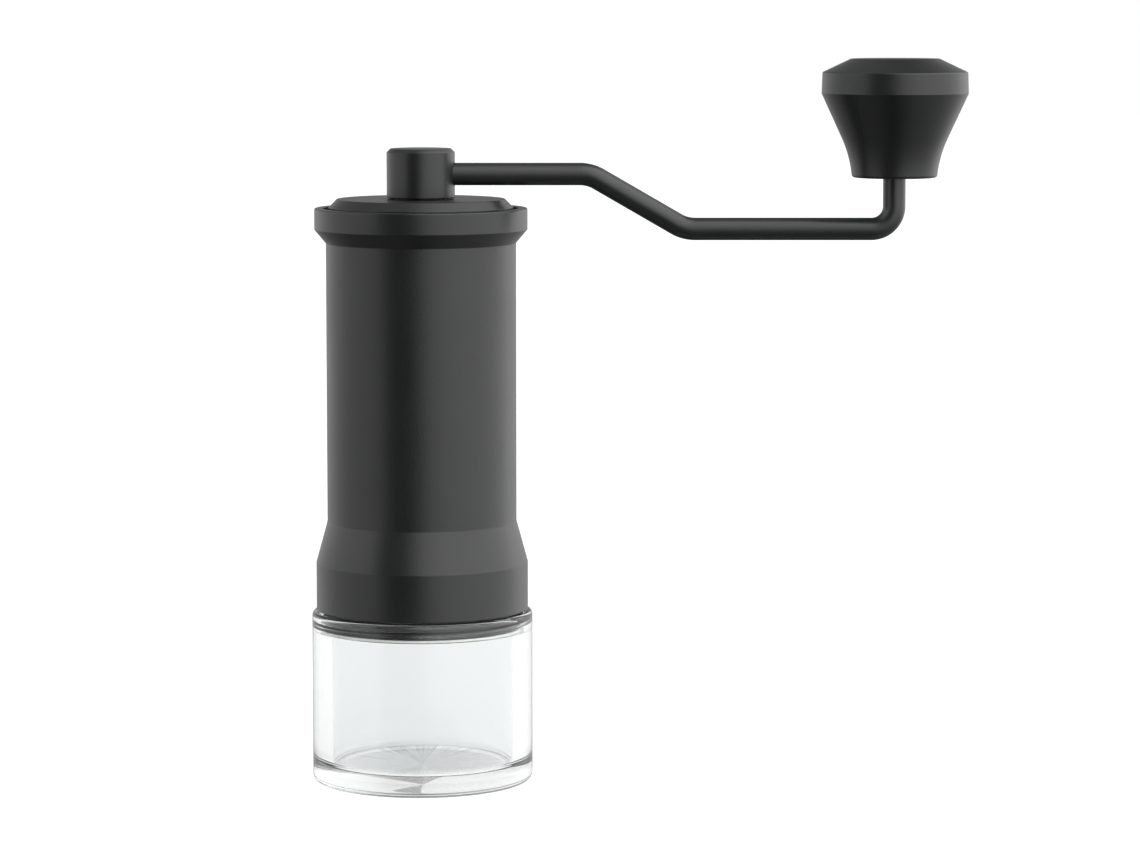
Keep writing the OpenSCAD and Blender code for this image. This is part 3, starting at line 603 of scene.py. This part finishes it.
FINISHES = {
    "black_aluminium": blasted_anodised_aluminium,
    "black_steel": coated_steel_rod,
    "black_plastic": moulded_black_plastic,
    "clear_plastic": clear_moulded_copolyester,
    "burr_steel": ground_tool_steel,
    "bare_aluminium": blasted_bare_aluminium,
    "stainless": turned_stainless,
    "bearing_steel": polished_bearing_steel,
    "spring_steel": oiled_spring_steel,
    "brass": satin_brass,
    "white_acetal": moulded_acetal,
    "silicone": moulded_silicone,
}
made = {}


def finish_of(slot):
    """The material of one of the record's slots, made the first time it is asked for."""
    if slot not in made:
        made[slot] = FINISHES[slot]()
    return made[slot]


def slot_of(node):
    """The record's material slot of a node."""
    return next(part["material_slot"] for part in frame["record"]["subparts"] if part["node"] == node)


def body_of(node):
    """The body that a node belongs to."""
    return next(body for body, nodes in frame["record"]["behaviour"]["bodies"].items() if node in nodes)


def stand_for(obj, node):
    """Gives a new piece the finish, body and place in the object of the node that it replaces."""
    obj.data.materials.append(finish_of(slot_of(node)))
    obj.data.set_sharp_from_angle(angle=math.radians(50))
    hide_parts(node)
    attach(obj, body_of(node))
    return obj


def soften(node, width, segments=2):
    """Finishes a carried-over node: joins its loose triangles, rounds its sharp edges, evens its shading."""
    obj = frame["nodes"][node]
    obj.data.polygons.foreach_set("use_smooth", np.ones(len(obj.data.polygons), bool))
    weld = obj.modifiers.new("Joined", "WELD")
    weld.merge_threshold = 1e-6
    bevel = obj.modifiers.new("Broken edges", "BEVEL")
    bevel.width = width * MM
    bevel.segments = segments
    bevel.limit_method = "ANGLE"
    bevel.angle_limit = math.radians(32)
    bevel.miter_outer = "MITER_ARC"
    even = obj.modifiers.new("Even shading", "WEIGHTED_NORMAL")
    even.keep_sharp = False
    obj.data.materials.clear()
    obj.data.materials.append(finish_of(slot_of(node)))


# ---- Pieces ----


class GRINDER_OT_body(bpy.types.Operator):
    """Turns the body's shell: foot band, cone, tube and collar, with its bores"""

    bl_idname = "grinder.body"
    bl_label = "Body shell"

    def execute(self, context):
        edge = size("edge")
        bore_r = MOUTH_BORE_R - size("bridge_step")
        tube_r = bore_r + size("tube_wall")
        band = SHELL_LOW + size("band_height")
        tube = band + size("flare_height")
        collar = SHELL_TOP - size("collar_height")
        neck = collar - size("taper_height")
        collar_wall = 2.3
        recess_r = SHELL_R - collar_wall
        recess = SHELL_TOP - size("recess_depth")
        rim = SHELL_TOP - 0.1
        snap_r, snap_low, snap_high = span("bridge_snap_ring")
        carrier_h = 26.0  # from the carrier's seat up to the lower bearing
        seat = span("lower_bearing_outer")[1] - carrier_h
        bridge = span("bearing_bridge")[1]
        outline = rounded([
            (LOW_BORE_R, SHELL_LOW, 0.2),
            (SHELL_R, SHELL_LOW, 0.35),
            (SHELL_R, band, 0.8),
            (tube_r, tube, 1.2),
            (tube_r, neck, 0.5),
            (SHELL_R, collar, 0.35),
            (SHELL_R, rim, 0.4),
            (recess_r, rim, 0.12),
            (recess_r, recess, 0.1),
            (MOUTH_BORE_R, recess, edge),
            (MOUTH_BORE_R, snap_high + RUN, 0.05),
            (snap_r + SLIDE, snap_high + RUN, 0.05),
            (snap_r + SLIDE, snap_low - RUN, 0.05),
            (MOUTH_BORE_R, snap_low - RUN, 0.05),
            (MOUTH_BORE_R, bridge, 0.05),
            (bore_r, bridge, 0.1),
            (bore_r, seat, 0.1),
            (LOW_BORE_R, seat, 0.1),
        ])
        stand_for(turned("shell", outline), "body_shell")
        return {"FINISHED"}


class GRINDER_OT_skirt(bpy.types.Operator):
    """Moulds the black skirt ring with its jar thread"""

    bl_idname = "grinder.skirt"
    bl_label = "Threaded skirt"

    def execute(self, context):
        crest_r, low, top = span("skirt_ring")
        depth = size("thread_depth")
        pitch = size("thread_pitch")
        foot, crest = 0.6, 0.24  # half widths of the ridge
        wall = 1.3
        inner_r = LOW_BORE_R - wall
        start = low + THREAD_END
        turns = (SHELL_LOW - start - THREAD_END) / pitch
        outline = rounded([
            (inner_r, low, 0.25),
            (crest_r - depth, low, 0.35),
            (crest_r - depth, SHELL_LOW, 0.1),
            (LOW_BORE_R - SLIDE, SHELL_LOW, 0.1),
            (LOW_BORE_R - SLIDE, top, 0.2),
            (inner_r, top, 0.2),
        ])
        outline = divided(outline, 0.06, low + 0.2, SHELL_LOW - 0.1)

        def threaded(radius, height, turn):
            """Raises the thread's ridge on the outer wall."""
            ridge = helix(turn, 0.0, start, turns, pitch, height, foot, crest)
            return radius + depth * ridge * (radius > crest_r - depth - 0.4), height

        stand_for(turned("threaded_skirt", outline, sides=256, shape=threaded), "skirt_ring")
        return {"FINISHED"}


class GRINDER_OT_jar(bpy.types.Operator):
    """Moulds the clear jar with the thread in its mouth, and its seal"""

    bl_idname = "grinder.jar"
    bl_label = "Jar and seal"

    def execute(self, context):
        bore_r = JAR_R - size("jar_wall")
        mouth_r = JAR_R - size("rim_wall")
        floor = JAR_LOW + size("jar_floor")
        ledge = JAR_TOP - size("mouth_depth")
        pitch = size("thread_pitch")
        depth = size("jar_thread")
        foot = size("jar_thread_foot")
        start = span("skirt_ring")[1] + THREAD_END - pitch / 4
        lead_in = size("lead_in")
        above = 0.6  # plain length between the thread and the lead-in
        turns = (JAR_TOP - lead_in - start - above) / pitch
        outline = rounded([
            (0, JAR_LOW, 0),
            (JAR_R, JAR_LOW, 2.0),
            (JAR_R, JAR_TOP, 1.1),
            (mouth_r + lead_in, JAR_TOP, 0.05),
            (mouth_r, JAR_TOP - lead_in, 0.15),
            (mouth_r, ledge, 0.12),
            (bore_r, ledge, 0.35),
            (bore_r, floor, 2.0),
            (0, floor, 0),
        ], steps=8, closed=False)
        outline = divided(outline, 0.06, ledge + 0.1, JAR_TOP - lead_in)

        def threaded(radius, height, turn):
            """Raises the thread's ridge inwards from the mouth's wall."""
            ridge = helix(turn, np.pi / 2, start, turns, pitch, height, foot, 0.0)
            wall = (np.abs(radius - mouth_r) < 0.01) & (height > ledge)
            return radius - depth * ridge * wall, height

        jar = stand_for(turned("clear_jar", outline, sides=256, shape=threaded, ring=False), "jar")
        jar.visible_shadow = False  # light reaches the floor through clear plastic
        overhang = 0.2  # width of the ledge left bare inside the seal
        seal = washer("mouth_seal", bore_r + overhang, *span("jar_seal"), 0.15)
        stand_for(seal, "jar_seal")
        return {"FINISHED"}


class GRINDER_OT_lid(bpy.types.Operator):
    """Turns the lid with its plug and O-ring groove, and adds its base, O-ring and bush"""

    bl_idname = "grinder.lid"
    bl_label = "Lid"

    def execute(self, context):
        lid_r, plug, top = span("lid_cap")
        chamfer = size("lid_chamfer")
        bush_r = span("lid_bush")[0]
        base_r, base_low, base_top = span("lid_base")
        boss_wall, roof_t, plug_play, groove_depth, bush_wall = 2.0, 3.0, 0.4, 1.5, 0.95
        boss_r = bush_r + boss_wall
        roof = top - roof_t
        plug_r = MOUTH_BORE_R - plug_play
        ring_r, ring_low, ring_top = span("lid_o_ring")
        groove_r = plug_r - groove_depth
        recess = SHELL_TOP - size("recess_depth") + RUN
        outline = rounded([
            (bush_r, plug, 0.1),
            (boss_r, plug, 0.15),
            (boss_r, roof, 0.3),
            (base_r + TOUCH, roof, 0.3),
            (base_r + TOUCH, plug, 0.15),
            (plug_r, plug, 0.4),
            (plug_r, ring_low - SLIDE, 0.12),
            (groove_r, ring_low - SLIDE, 0.1),
            (groove_r, ring_top + SLIDE, 0.1),
            (plug_r, ring_top + SLIDE, 0.12),
            (plug_r, recess, 0.1),
            (lid_r, recess, 0.1),
            (lid_r, top - chamfer, 0.08),
            (lid_r - chamfer, top, 0.25),
            (bush_r, top, 0.15),
        ])
        stand_for(turned("lid_top", outline), "lid_cap")
        base = washer("lid_closing_plate", boss_r + TOUCH, base_r, base_low, base_top, 0.15)
        stand_for(base, "lid_base")
        bush = washer("lid_sleeve", bush_r - bush_wall, *span("lid_bush"), 0.1, sides=128)
        stand_for(bush, "lid_bush")
        section_r = (ring_top - ring_low) / 2
        turn = np.linspace(-np.pi, np.pi, 24, endpoint=False)
        across = ring_r - section_r + section_r * np.cos(turn)
        up = (ring_low + ring_top) / 2 + section_r * np.sin(turn)
        stand_for(turned("lid_ring_seal", np.stack([across, up], -1)), "lid_o_ring")
        return {"FINISHED"}


class GRINDER_OT_crank(bpy.types.Operator):
    """Bends the crank arm from round rod, with the knob's spindle turned on its end, and softens the hub"""

    bl_idname = "grinder.crank"
    bl_label = "Crank arm and hub"

    def execute(self, context):
        low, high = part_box("crank_arm")
        rod_r = (high.y - low.y) / 2 / MM
        inner = low.x / MM
        low_run = low.z / MM + rod_r
        top = high.z / MM
        shoulder = KNOB_LOW - SLIDE
        high_run = KNOB_LOW + 0.9
        bend = 45.0  # where the slope starts
        slope = math.radians(30)
        bend_r, stem_r = 10.0, 6.0
        drop = (high_run - low_run) / math.tan(slope)
        line = rounded([
            (inner, high_run, 0),
            (bend, high_run, bend_r),
            (bend + drop, low_run, bend_r),
            (KNOB_X, low_run, stem_r),
            (KNOB_X, shoulder, 0),
        ], steps=24, closed=False)
        end, tip, spindle_r = 0.25, 0.4, rod_r - 0.5
        hole_r, countersink, hole_depth, drill_tip = 1.5, 0.3, 9.0, 0.6
        start = np.array([[inner, high_run]] * 2 + [[inner + end, high_run]])
        spindle = np.array(  # the spindle's steps as height and radius, up its outside and down its hole
            [
                (shoulder - end, rod_r),
                (shoulder, rod_r - end),
                (shoulder, spindle_r),
                (shoulder + TOUCH, spindle_r),
                (top - tip, spindle_r),
                (top, spindle_r - tip),
                (top, hole_r + countersink),
                (top - countersink, hole_r),
                (top - hole_depth, hole_r),
                (top - hole_depth - drill_tip, 0.0),
            ]
        )
        stem = np.stack([np.full(len(spindle), KNOB_X), spindle[:, 0]], -1)
        flat = np.concatenate([start, line[1:-1], stem])
        rod = np.full(len(line) - 2, rod_r)
        radii = np.concatenate([[0.0, rod_r - end, rod_r], rod, spindle[:, 1]])
        way = np.gradient(line, axis=0)
        upright = np.tile([[0.0, 1.0]], (len(stem), 1))
        way = np.concatenate([np.tile(way[:1], (3, 1)), way[1:-1], upright])
        way = way / np.linalg.norm(way, axis=1)[:, None]
        turn = np.linspace(0, 2 * np.pi, 64, endpoint=False)[None, :]
        path, radii = flat[:, None], radii[:, None]
        points = np.stack(
            [
                path[..., 0] - way[:, None, 1] * radii * np.sin(turn),
                -radii * np.cos(turn),
                path[..., 1] + way[:, None, 0] * radii * np.sin(turn),
            ],
            -1,
        )
        stand_for(surface("bent_arm", points, ring=False), "crank_arm")
        soften("crank_hub", 0.2, 3)
        return {"FINISHED"}


class GRINDER_OT_knob(bpy.types.Operator):
    """Turns the knob's body, its cap disc and its two bushes"""

    bl_idname = "grinder.knob"
    bl_label = "Knob"

    def execute(self, context):
        cap_r, cap_low, cap_top = span("knob_cap")
        flange_r, bush_low, bush_top = span("knob_lower_bush")
        pocket = span("knob_upper_bush")[2]
        flange, flange_t = 1.1, 0.8
        pocket_r = 7.0
        bush_r = flange_r - flange
        foot_r = size("knob_foot") / 2
        band = KNOB_TOP - size("knob_crown") - size("knob_band")
        foot_lean = math.tan(math.radians(7.5))
        rise = 0.24 * (band - KNOB_LOW - 1.3)  # the nearly upright part of the flank
        flank_r = 34.0
        outline = rounded([
            (flange_r, KNOB_LOW, 0.2),
            (foot_r, KNOB_LOW, 0.9),
            (foot_r + 0.1 + rise * foot_lean, KNOB_LOW + 1 + rise, flank_r),
            (KNOB_R, band, 0.4),
            (KNOB_R - 0.2, band + size("knob_band"), 0.45),
            (cap_r + 0.3, KNOB_TOP, 0.18),
            (cap_r + TOUCH, KNOB_TOP - 0.12, 0.02),
            (cap_r + TOUCH, cap_low, 0.1),
            (pocket_r, cap_low, 0.15),
            (pocket_r, pocket, 0.15),
            (flange_r, pocket, 0.1),
            (flange_r, pocket - flange_t, 0.05),
            (bush_r, pocket - flange_t, 0.1),
            (bush_r, KNOB_LOW + flange_t, 0.1),
            (flange_r, KNOB_LOW + flange_t, 0.05),
        ], steps=8)
        stand_for(turned("turned_knob", outline, x=KNOB_X), "knob_body")
        cap = rounded(
            [(0, cap_low, 0), (cap_r, cap_low, 0.15), (cap_r, cap_top, 0.22), (0, cap_top, 0)], closed=False
        )
        stand_for(turned("knob_disc", cap, x=KNOB_X, ring=False), "knob_cap")
        bore_r = SHAFT_R - 1 + RUN
        for name, node, foot, step in (
            ("knob_foot_bush", "knob_lower_bush", bush_low, 1),
            ("knob_head_bush", "knob_upper_bush", pocket, -1),
        ):
            far = foot + step * (bush_top - bush_low)
            corners = [
                (bore_r, foot, 0.15),
                (flange_r, foot, 0.1),
                (flange_r, foot + step * flange_t, 0.1),
                (bush_r, foot + step * flange_t, 0.1),
                (bush_r, far, 0.15),
                (bore_r, far, 0.15),
            ]
            stand_for(turned(name, rounded(corners[::step]), x=KNOB_X, sides=96), node)
        return {"FINISHED"}


def tooth(phase, steep):
    """One repeat of a cutting tooth, from 0 at its edge to 1 at its root.

    It falls slowly over most of the repeat, and rises steeply over the last share, steep.
    """
    part = phase % 1
    return np.where(part < 1 - steep, part / (1 - steep), (1 - part) / steep)


class GRINDER_OT_burrs(bpy.types.Operator):
    """Grinds the cone burr and the ring burr, each with coarse flutes above and fine teeth below"""

    bl_idname = "grinder.burrs"
    bl_label = "Burrs"

    def execute(self, context):
        ring_r, ring_low, ring_top = span("ring_burr")
        throat = ring_low + 6
        throat_r, mouth_r, foot_r = ring_r - 4.8, ring_r - 2.6, ring_r - 1.6
        gap = 0.35  # between the burrs at the throat
        foot_band = 0.72  # height of the plain band under the cone's teeth
        flutes, fine_teeth = 6, 36
        cone_flute, ring_flute, fine_depth = 2.0, 1.3, 0.42
        lean = math.tan(math.radians(24))
        cone_r, cone_low, cone_top = span("cone_burr")
        bore_r = SHAFT_R + RUN
        cone = rounded([
            (bore_r, cone_low, 0.2),
            (cone_r, cone_low, 0.15),
            (cone_r, cone_low + foot_band, 0.15),
            (throat_r - gap, throat, 1.5),
            (SHAFT_R + 4.6, cone_top - 4.5, 1.5),
            (SHAFT_R + 2.7, cone_top, 0.4),
            (bore_r, cone_top, 0.2),
        ])
        cone = divided(cone, 0.25, cone_low + 0.5, cone_top - 0.2)

        def cut(radius, height, turn, lean, flute, fine_depth, low, high):
            """Moves the working face by its teeth: coarse flutes that fade in above the throat, and fine
            teeth that fade in below it, both leaning round the axis with height."""
            twist = lean * (height - throat) / throat_r
            coarse = tooth((turn + twist) * flutes / (2 * np.pi), 0.35)
            fine = tooth((turn - 0.8 * twist) * fine_teeth / (2 * np.pi), 0.3)
            above = np.clip((height - throat + 1.0) / 6, 0, 1)
            below = np.clip((throat + 0.5 - height) / 1.5, 0, 1)
            face = np.clip((height - low) / 0.4, 0, 1) * np.clip((high - height) / 1.2, 0, 1)
            return radius + face * (flute * above * coarse + fine_depth * below * fine), height

        def cut_cone(radius, height, turn):
            """Cuts the cone's outside inwards."""
            face = -1.0 * (radius > bore_r + 0.5)
            low = cone_low + foot_band
            return cut(radius, height, turn, -lean, cone_flute * face, fine_depth * face, low, cone_top)

        stand_for(turned("fluted_cone", cone, sides=432, shape=cut_cone), "cone_burr")
        ring = rounded([
            (foot_r, ring_low, 0.15),
            (ring_r, ring_low, 0.25),
            (ring_r, ring_top, 0.25),
            (mouth_r, ring_top, 0.15),
            (throat_r, throat, 1.0),
        ])
        ring = divided(ring, 0.25, ring_low + 0.2, ring_top - 0.2)

        def cut_ring(radius, height, turn):
            """Cuts the ring's inside outwards."""
            face = radius < mouth_r + 0.05
            return cut(radius, height, turn, lean, ring_flute * face, fine_depth * face, ring_low, ring_top)

        stand_for(turned("fluted_ring", ring, sides=432, shape=cut_ring), "ring_burr")
        return {"FINISHED"}


class GRINDER_OT_dial(bpy.types.Operator):
    """Turns the grind dial, with finger grips round its edge and click dents in a track on its top"""

    bl_idname = "grinder.dial"
    bl_label = "Grind dial"

    def execute(self, context):
        low, top = span("grind_dial")[1:]
        dial_r = 12.5
        bore_r = SHAFT_R - 0.5 + RUN
        grips, grip_r, grip_centre = 18, 1.1, dial_r + 0.55
        dents, ball_r, track_depth, dent_depth = 12, 1.25, 0.45, 0.6
        outline = rounded([
            (bore_r, low + 1.2, 0.2),
            (dial_r - 3, low + 1.2, 0.3),
            (dial_r - 2.4, low, 0.2),
            (dial_r, low, 0.6),
            (dial_r, top, 0.6),
            (bore_r, top, 0.25),
        ])
        outline = divided(outline, 0.12, top - 0.01, top + 0.01)

        def shape(radius, height, turn):
            """Cuts the grips and sinks the balls' track.

            A grip is a round notch about a centre just outside the wall. The track is a round groove in the
            top, and in it stand the dents, each a part of a sphere as wide as a ball.
            """
            off = (turn * grips / (2 * np.pi) + 0.5) % 1 - 0.5
            off = off * 2 * np.pi / grips
            reach = grip_r**2 - (grip_centre * np.sin(off)) ** 2
            wall = grip_centre * np.cos(off) - np.sqrt(np.maximum(reach, 0))
            radius = np.where((reach > 0) & (radius > wall), wall, radius)
            step = (turn * dents / (2 * np.pi) + 0.5) % 1 - 0.5
            along = CLICK_R * step * 2 * np.pi / dents
            across = radius - CLICK_R
            track = np.sqrt(np.maximum(ball_r**2 - across**2, 0)) - (ball_r - track_depth)
            dent = np.sqrt(np.maximum(ball_r**2 - across**2 - along**2, 0)) - (ball_r - dent_depth)
            sunk = np.maximum(np.maximum(track, dent), 0)
            return radius, height - sunk * (height > top - 0.05)

        stand_for(turned("grip_dial", outline, sides=432, shape=shape), "grind_dial")
        return {"FINISHED"}


def coil(name, x, mean_r, wire_r, low, high, turns):
    """A compression spring: a round wire carried along a helix round the line at x.

    At share s of its length the wire is at (x + mean_r cos t, mean_r sin t), t = 2 pi turns s, and at a
    height that runs with s - 0.06 sin(2 pi s) / pi, so it rises more slowly at both ends. Each end closes
    on one point.
    """
    count = turns * 40 + 1
    turn = np.linspace(0, turns * 2 * np.pi, count)
    share = np.linspace(0, 1, count)
    eased = share - 0.06 * np.sin(2 * np.pi * share) / np.pi
    height = low + wire_r + (high - low - 2 * wire_r) * eased
    path = np.stack([x + mean_r * np.cos(turn), mean_r * np.sin(turn), height], -1)
    way = np.gradient(path, axis=0)
    path, way = (np.concatenate([rows[:1], rows, rows[-1:]]) for rows in (path, way))
    radii = np.concatenate([[0.0], np.full(count, wire_r), [0.0]])
    way = way / np.linalg.norm(way, axis=1)[:, None]
    across = np.cross(way, (0.0, 0.0, 1.0))
    across = across / np.linalg.norm(across, axis=1)[:, None]
    up = np.cross(across, way)
    ring = np.linspace(0, 2 * np.pi, 16, endpoint=False)
    spokes = np.cos(ring)[None, :, None] * across[:, None] + np.sin(ring)[None, :, None] * up[:, None]
    points = path[:, None] + spokes * radii[:, None, None]
    return surface(name, points[:, ::-1], ring=False)


class GRINDER_OT_springs(bpy.types.Operator):
    """Winds the burr spring and the two click springs"""

    bl_idname = "grinder.springs"
    bl_label = "Springs"

    def execute(self, context):
        outer, low, high = span("burr_spring")
        wire_r = 0.5
        spring = coil("burr_coil", 0.0, outer - wire_r, wire_r, low, high, turns=6)
        stand_for(spring, "burr_spring")
        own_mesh(spring)
        low, high = (corner.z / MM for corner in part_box("click_springs"))
        mean_r, wire_r = 0.8, 0.18
        first = coil("click_coils", CLICK_R, mean_r, wire_r, low, high, turns=4)
        second = coil("click_coil_2", -CLICK_R, mean_r, wire_r, low, high, turns=4)
        with context.temp_override(active_object=first, selected_editable_objects=[first, second]):
            bpy.ops.object.join()
        stand_for(first, "click_springs")
        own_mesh(first)
        return {"FINISHED"}


# Nodes that keep their mesh, each with the width of its broken edges
CARRIED_OVER = {
    "burr_carrier": 0.25,
    "burr_retainer": 0.12,
    "retainer_screws": 0.08,
    "bearing_bridge": 0.25,
    "bridge_snap_ring": 0.08,
    "upper_bearing_outer": 0.1,
    "upper_bearing_shields": 0.04,
    "lower_bearing_outer": 0.1,
    "lower_bearing_shields": 0.04,
    "upper_bearing_balls": 0.0,
    "upper_bearing_cage": 0.05,
    "lower_bearing_balls": 0.0,
    "lower_bearing_cage": 0.05,
    "drive_shaft": 0.12,
    "upper_bearing_inner": 0.1,
    "lower_bearing_inner": 0.1,
    "shaft_clips": 0.06,
    "dial_stop_clip": 0.06,
    "spring_washer": 0.08,
    "click_carrier": 0.15,
    "click_balls": 0.0,
    "hub_set_screw": 0.08,
    "hub_clip": 0.06,
    "knob_screw": 0.1,
    "knob_washer": 0.08,
}


class GRINDER_OT_fittings(bpy.types.Operator):
    """Breaks the edges of the machined fittings inside the grinder and gives them their finishes"""

    bl_idname = "grinder.fittings"
    bl_label = "Fittings"

    def execute(self, context):
        for node, width in CARRIED_OVER.items():
            soften(node, width)
        return {"FINISHED"}


class GRINDER_OT_stage(bpy.types.Operator):
    """Lays a pale floor, hangs the lights and sets the camera"""

    bl_idname = "grinder.stage"
    bl_label = "Stage"

    def execute(self, context):
        stage = context.scene.grinder_stage
        table_r, table_t = 6000, 20
        outline = [(0, -table_t), (table_r, -table_t), (table_r, 0), (900, 0), (300, 0), (0, 0)]
        outline = np.array(outline, float)
        floor = turned("light_table", outline, sides=96, ring=False)
        floor.data.materials.append(lit_opal_acrylic())
        floor.visible_glossy = False
        floor.visible_diffuse = False
        self.hang_lights(context.scene, stage)
        camera = bpy.data.objects.new("studio_camera", bpy.data.cameras.new("studio_camera"))
        context.scene.collection.objects.link(camera)
        camera.data.lens = stage.lens
        camera.data.sensor_width = 36
        camera.location = (stage.across, -stage.distance, stage.height)
        camera.rotation_euler = (math.pi / 2 - stage.tilt, 0, 0)
        context.scene.camera = camera
        context.scene.view_settings.view_transform = "Standard"
        return {"FINISHED"}

    def hang_lights(self, scene, stage):
        """Two broad soft walls of light with a dark gap in front, and a soft light over the table.

        The walls are the world's light: its strength is a ramp round the horizon, which leans with height,
        times a ramp with height, and a patch high up at the back is darker. The ramps hold half of their
        values, so the rest of the light is 4 times as strong, and that patch once. What the lens sees
        straight on is plain white.
        """
        world = bpy.data.worlds.new("light_walls")
        scene.world = world
        world.use_nodes = True
        tree = world.node_tree
        tree.nodes.clear()
        way = add_node(tree, "ShaderNodeTexCoord").outputs["Generated"]
        parts = add_node(tree, "ShaderNodeSeparateXYZ", {"Vector": way}).outputs
        front = add_node(tree, "ShaderNodeMath", {0: parts["Y"], 1: -1.0}, operation="MULTIPLY").outputs[0]
        around = add_node(tree, "ShaderNodeMath", {0: parts["X"], 1: front}, operation="ARCTAN2").outputs[0]
        lean = 0.35
        leaning = add_node(
            tree, "ShaderNodeMath", {0: parts["Z"], 1: lean, 2: around}, operation="MULTIPLY_ADD"
        ).outputs[0]
        share = add_node(
            tree, "ShaderNodeMapRange", {"Value": leaning, "From Min": -math.pi, "From Max": math.pi}
        ).outputs["Result"]
        walls = add_node(tree, "ShaderNodeValToRGB", {"Fac": share})
        self.fill_ramp(
            walls.color_ramp,
            [
                (-180, 0.35), (-158, 0.75), (-135, stage.left), (-54, stage.left), (-36, stage.gap),
                (-12, stage.gap), (16, 0.8 * stage.right), (40, stage.right), (125, stage.right),
                (150, 0.95), (180, 0.35),
            ],
        )
        rise = add_node(
            tree, "ShaderNodeMapRange", {"Value": parts["Z"], "From Min": -1.0, "From Max": 1.0}
        ).outputs["Result"]
        heights = add_node(tree, "ShaderNodeValToRGB", {"Fac": rise})
        self.fill_ramp(
            heights.color_ramp,
            [(-180, 0.2), (-126, 0.2), (-80, 0.4), (-36, 0.9), (0, 1.15), (72, 1.45), (140, 1.6)],
        )
        strength = add_node(
            tree,
            "ShaderNodeMath",
            {0: walls.outputs["Color"], 1: heights.outputs["Color"]},
            operation="MULTIPLY",
        ).outputs[0]
        high_back = (-0.25, 0.55, 0.8)
        toward = add_node(
            tree, "ShaderNodeVectorMath", {0: way, 1: high_back}, operation="DOT_PRODUCT"
        ).outputs["Value"]
        open_part = add_node(
            tree,
            "ShaderNodeMapRange",
            {"Value": toward, "From Min": 0.55, "From Max": 0.92, "To Min": 4.0, "To Max": 1.0},
            interpolation_type="SMOOTHSTEP",
        ).outputs["Result"]
        strength = add_node(
            tree, "ShaderNodeMath", {0: strength, 1: open_part}, operation="MULTIPLY"
        ).outputs[0]
        white = (1.0, 1.0, 1.0, 1.0)
        light = add_node(tree, "ShaderNodeBackground", {"Color": white, "Strength": strength}).outputs[0]
        plain = add_node(tree, "ShaderNodeBackground", {"Color": white, "Strength": 1.0}).outputs[0]
        seen = add_node(tree, "ShaderNodeLightPath").outputs["Is Camera Ray"]
        both = add_node(tree, "ShaderNodeMixShader", {0: seen, 1: light, 2: plain}).outputs[0]
        add_node(tree, "ShaderNodeOutputWorld", {"Surface": both})
        lamp = bpy.data.lights.new("overhead", "SUN")
        lamp.angle = math.radians(70)
        lamp.energy = stage.overhead
        over = bpy.data.objects.new("overhead", lamp)
        scene.collection.objects.link(over)
        over.visible_glossy = False

    def fill_ramp(self, ramp, stops):
        """Sets a ramp's stops, each a place from -180 to 180 and a value, of which the ramp holds half."""
        ramp.interpolation = "EASE"
        while len(ramp.elements) > 1:
            ramp.elements.remove(ramp.elements[-1])
        for number, (angle, value) in enumerate(stops):
            place = (angle + 180) / 360
            stop = ramp.elements[0] if number == 0 else ramp.elements.new(place)
            stop.position = place
            stop.color = (value / 2, value / 2, value / 2, 1)


class GRINDER_PT_panel(bpy.types.Panel):
    """Lists the grinder's pieces and settings"""

    bl_label = "Coffee grinder"
    bl_idname = "GRINDER_PT_panel"
    bl_space_type = "VIEW_3D"
    bl_region_type = "UI"
    bl_category = "Grinder"

    def draw(self, context):
        for operator in OPERATORS:
            self.layout.operator(operator.bl_idname)
        for group in ("grinder_shape", "grinder_finish", "grinder_stage"):
            box = self.layout.box()
            settings = getattr(context.scene, group)
            for name in settings.__annotations__:
                box.prop(settings, name)


GROUPS = {"grinder_shape": GrinderShape, "grinder_finish": GrinderFinish, "grinder_stage": GrinderStage}
OPERATORS = (
    GRINDER_OT_stage,
    GRINDER_OT_body,
    GRINDER_OT_skirt,
    GRINDER_OT_jar,
    GRINDER_OT_lid,
    GRINDER_OT_crank,
    GRINDER_OT_knob,
    GRINDER_OT_burrs,
    GRINDER_OT_dial,
    GRINDER_OT_springs,
    GRINDER_OT_fittings,
)


def register():
    """Registers the settings, operators and panel."""
    for name, group in GROUPS.items():
        bpy.utils.register_class(group)
        setattr(bpy.types.Scene, name, bpy.props.PointerProperty(type=group))
    for cls in (*OPERATORS, GRINDER_PT_panel):
        bpy.utils.register_class(cls)


def unregister():
    """Takes them away again."""
    for cls in (GRINDER_PT_panel, *reversed(OPERATORS)):
        bpy.utils.unregister_class(cls)
    for name, group in GROUPS.items():
        delattr(bpy.types.Scene, name)
        bpy.utils.unregister_class(group)


def main():
    """Makes every piece and the stage."""
    register()
    for operator in OPERATORS:
        getattr(bpy.ops.grinder, operator.bl_idname.split(".")[1])()


if __name__ == "__main__":
    main()
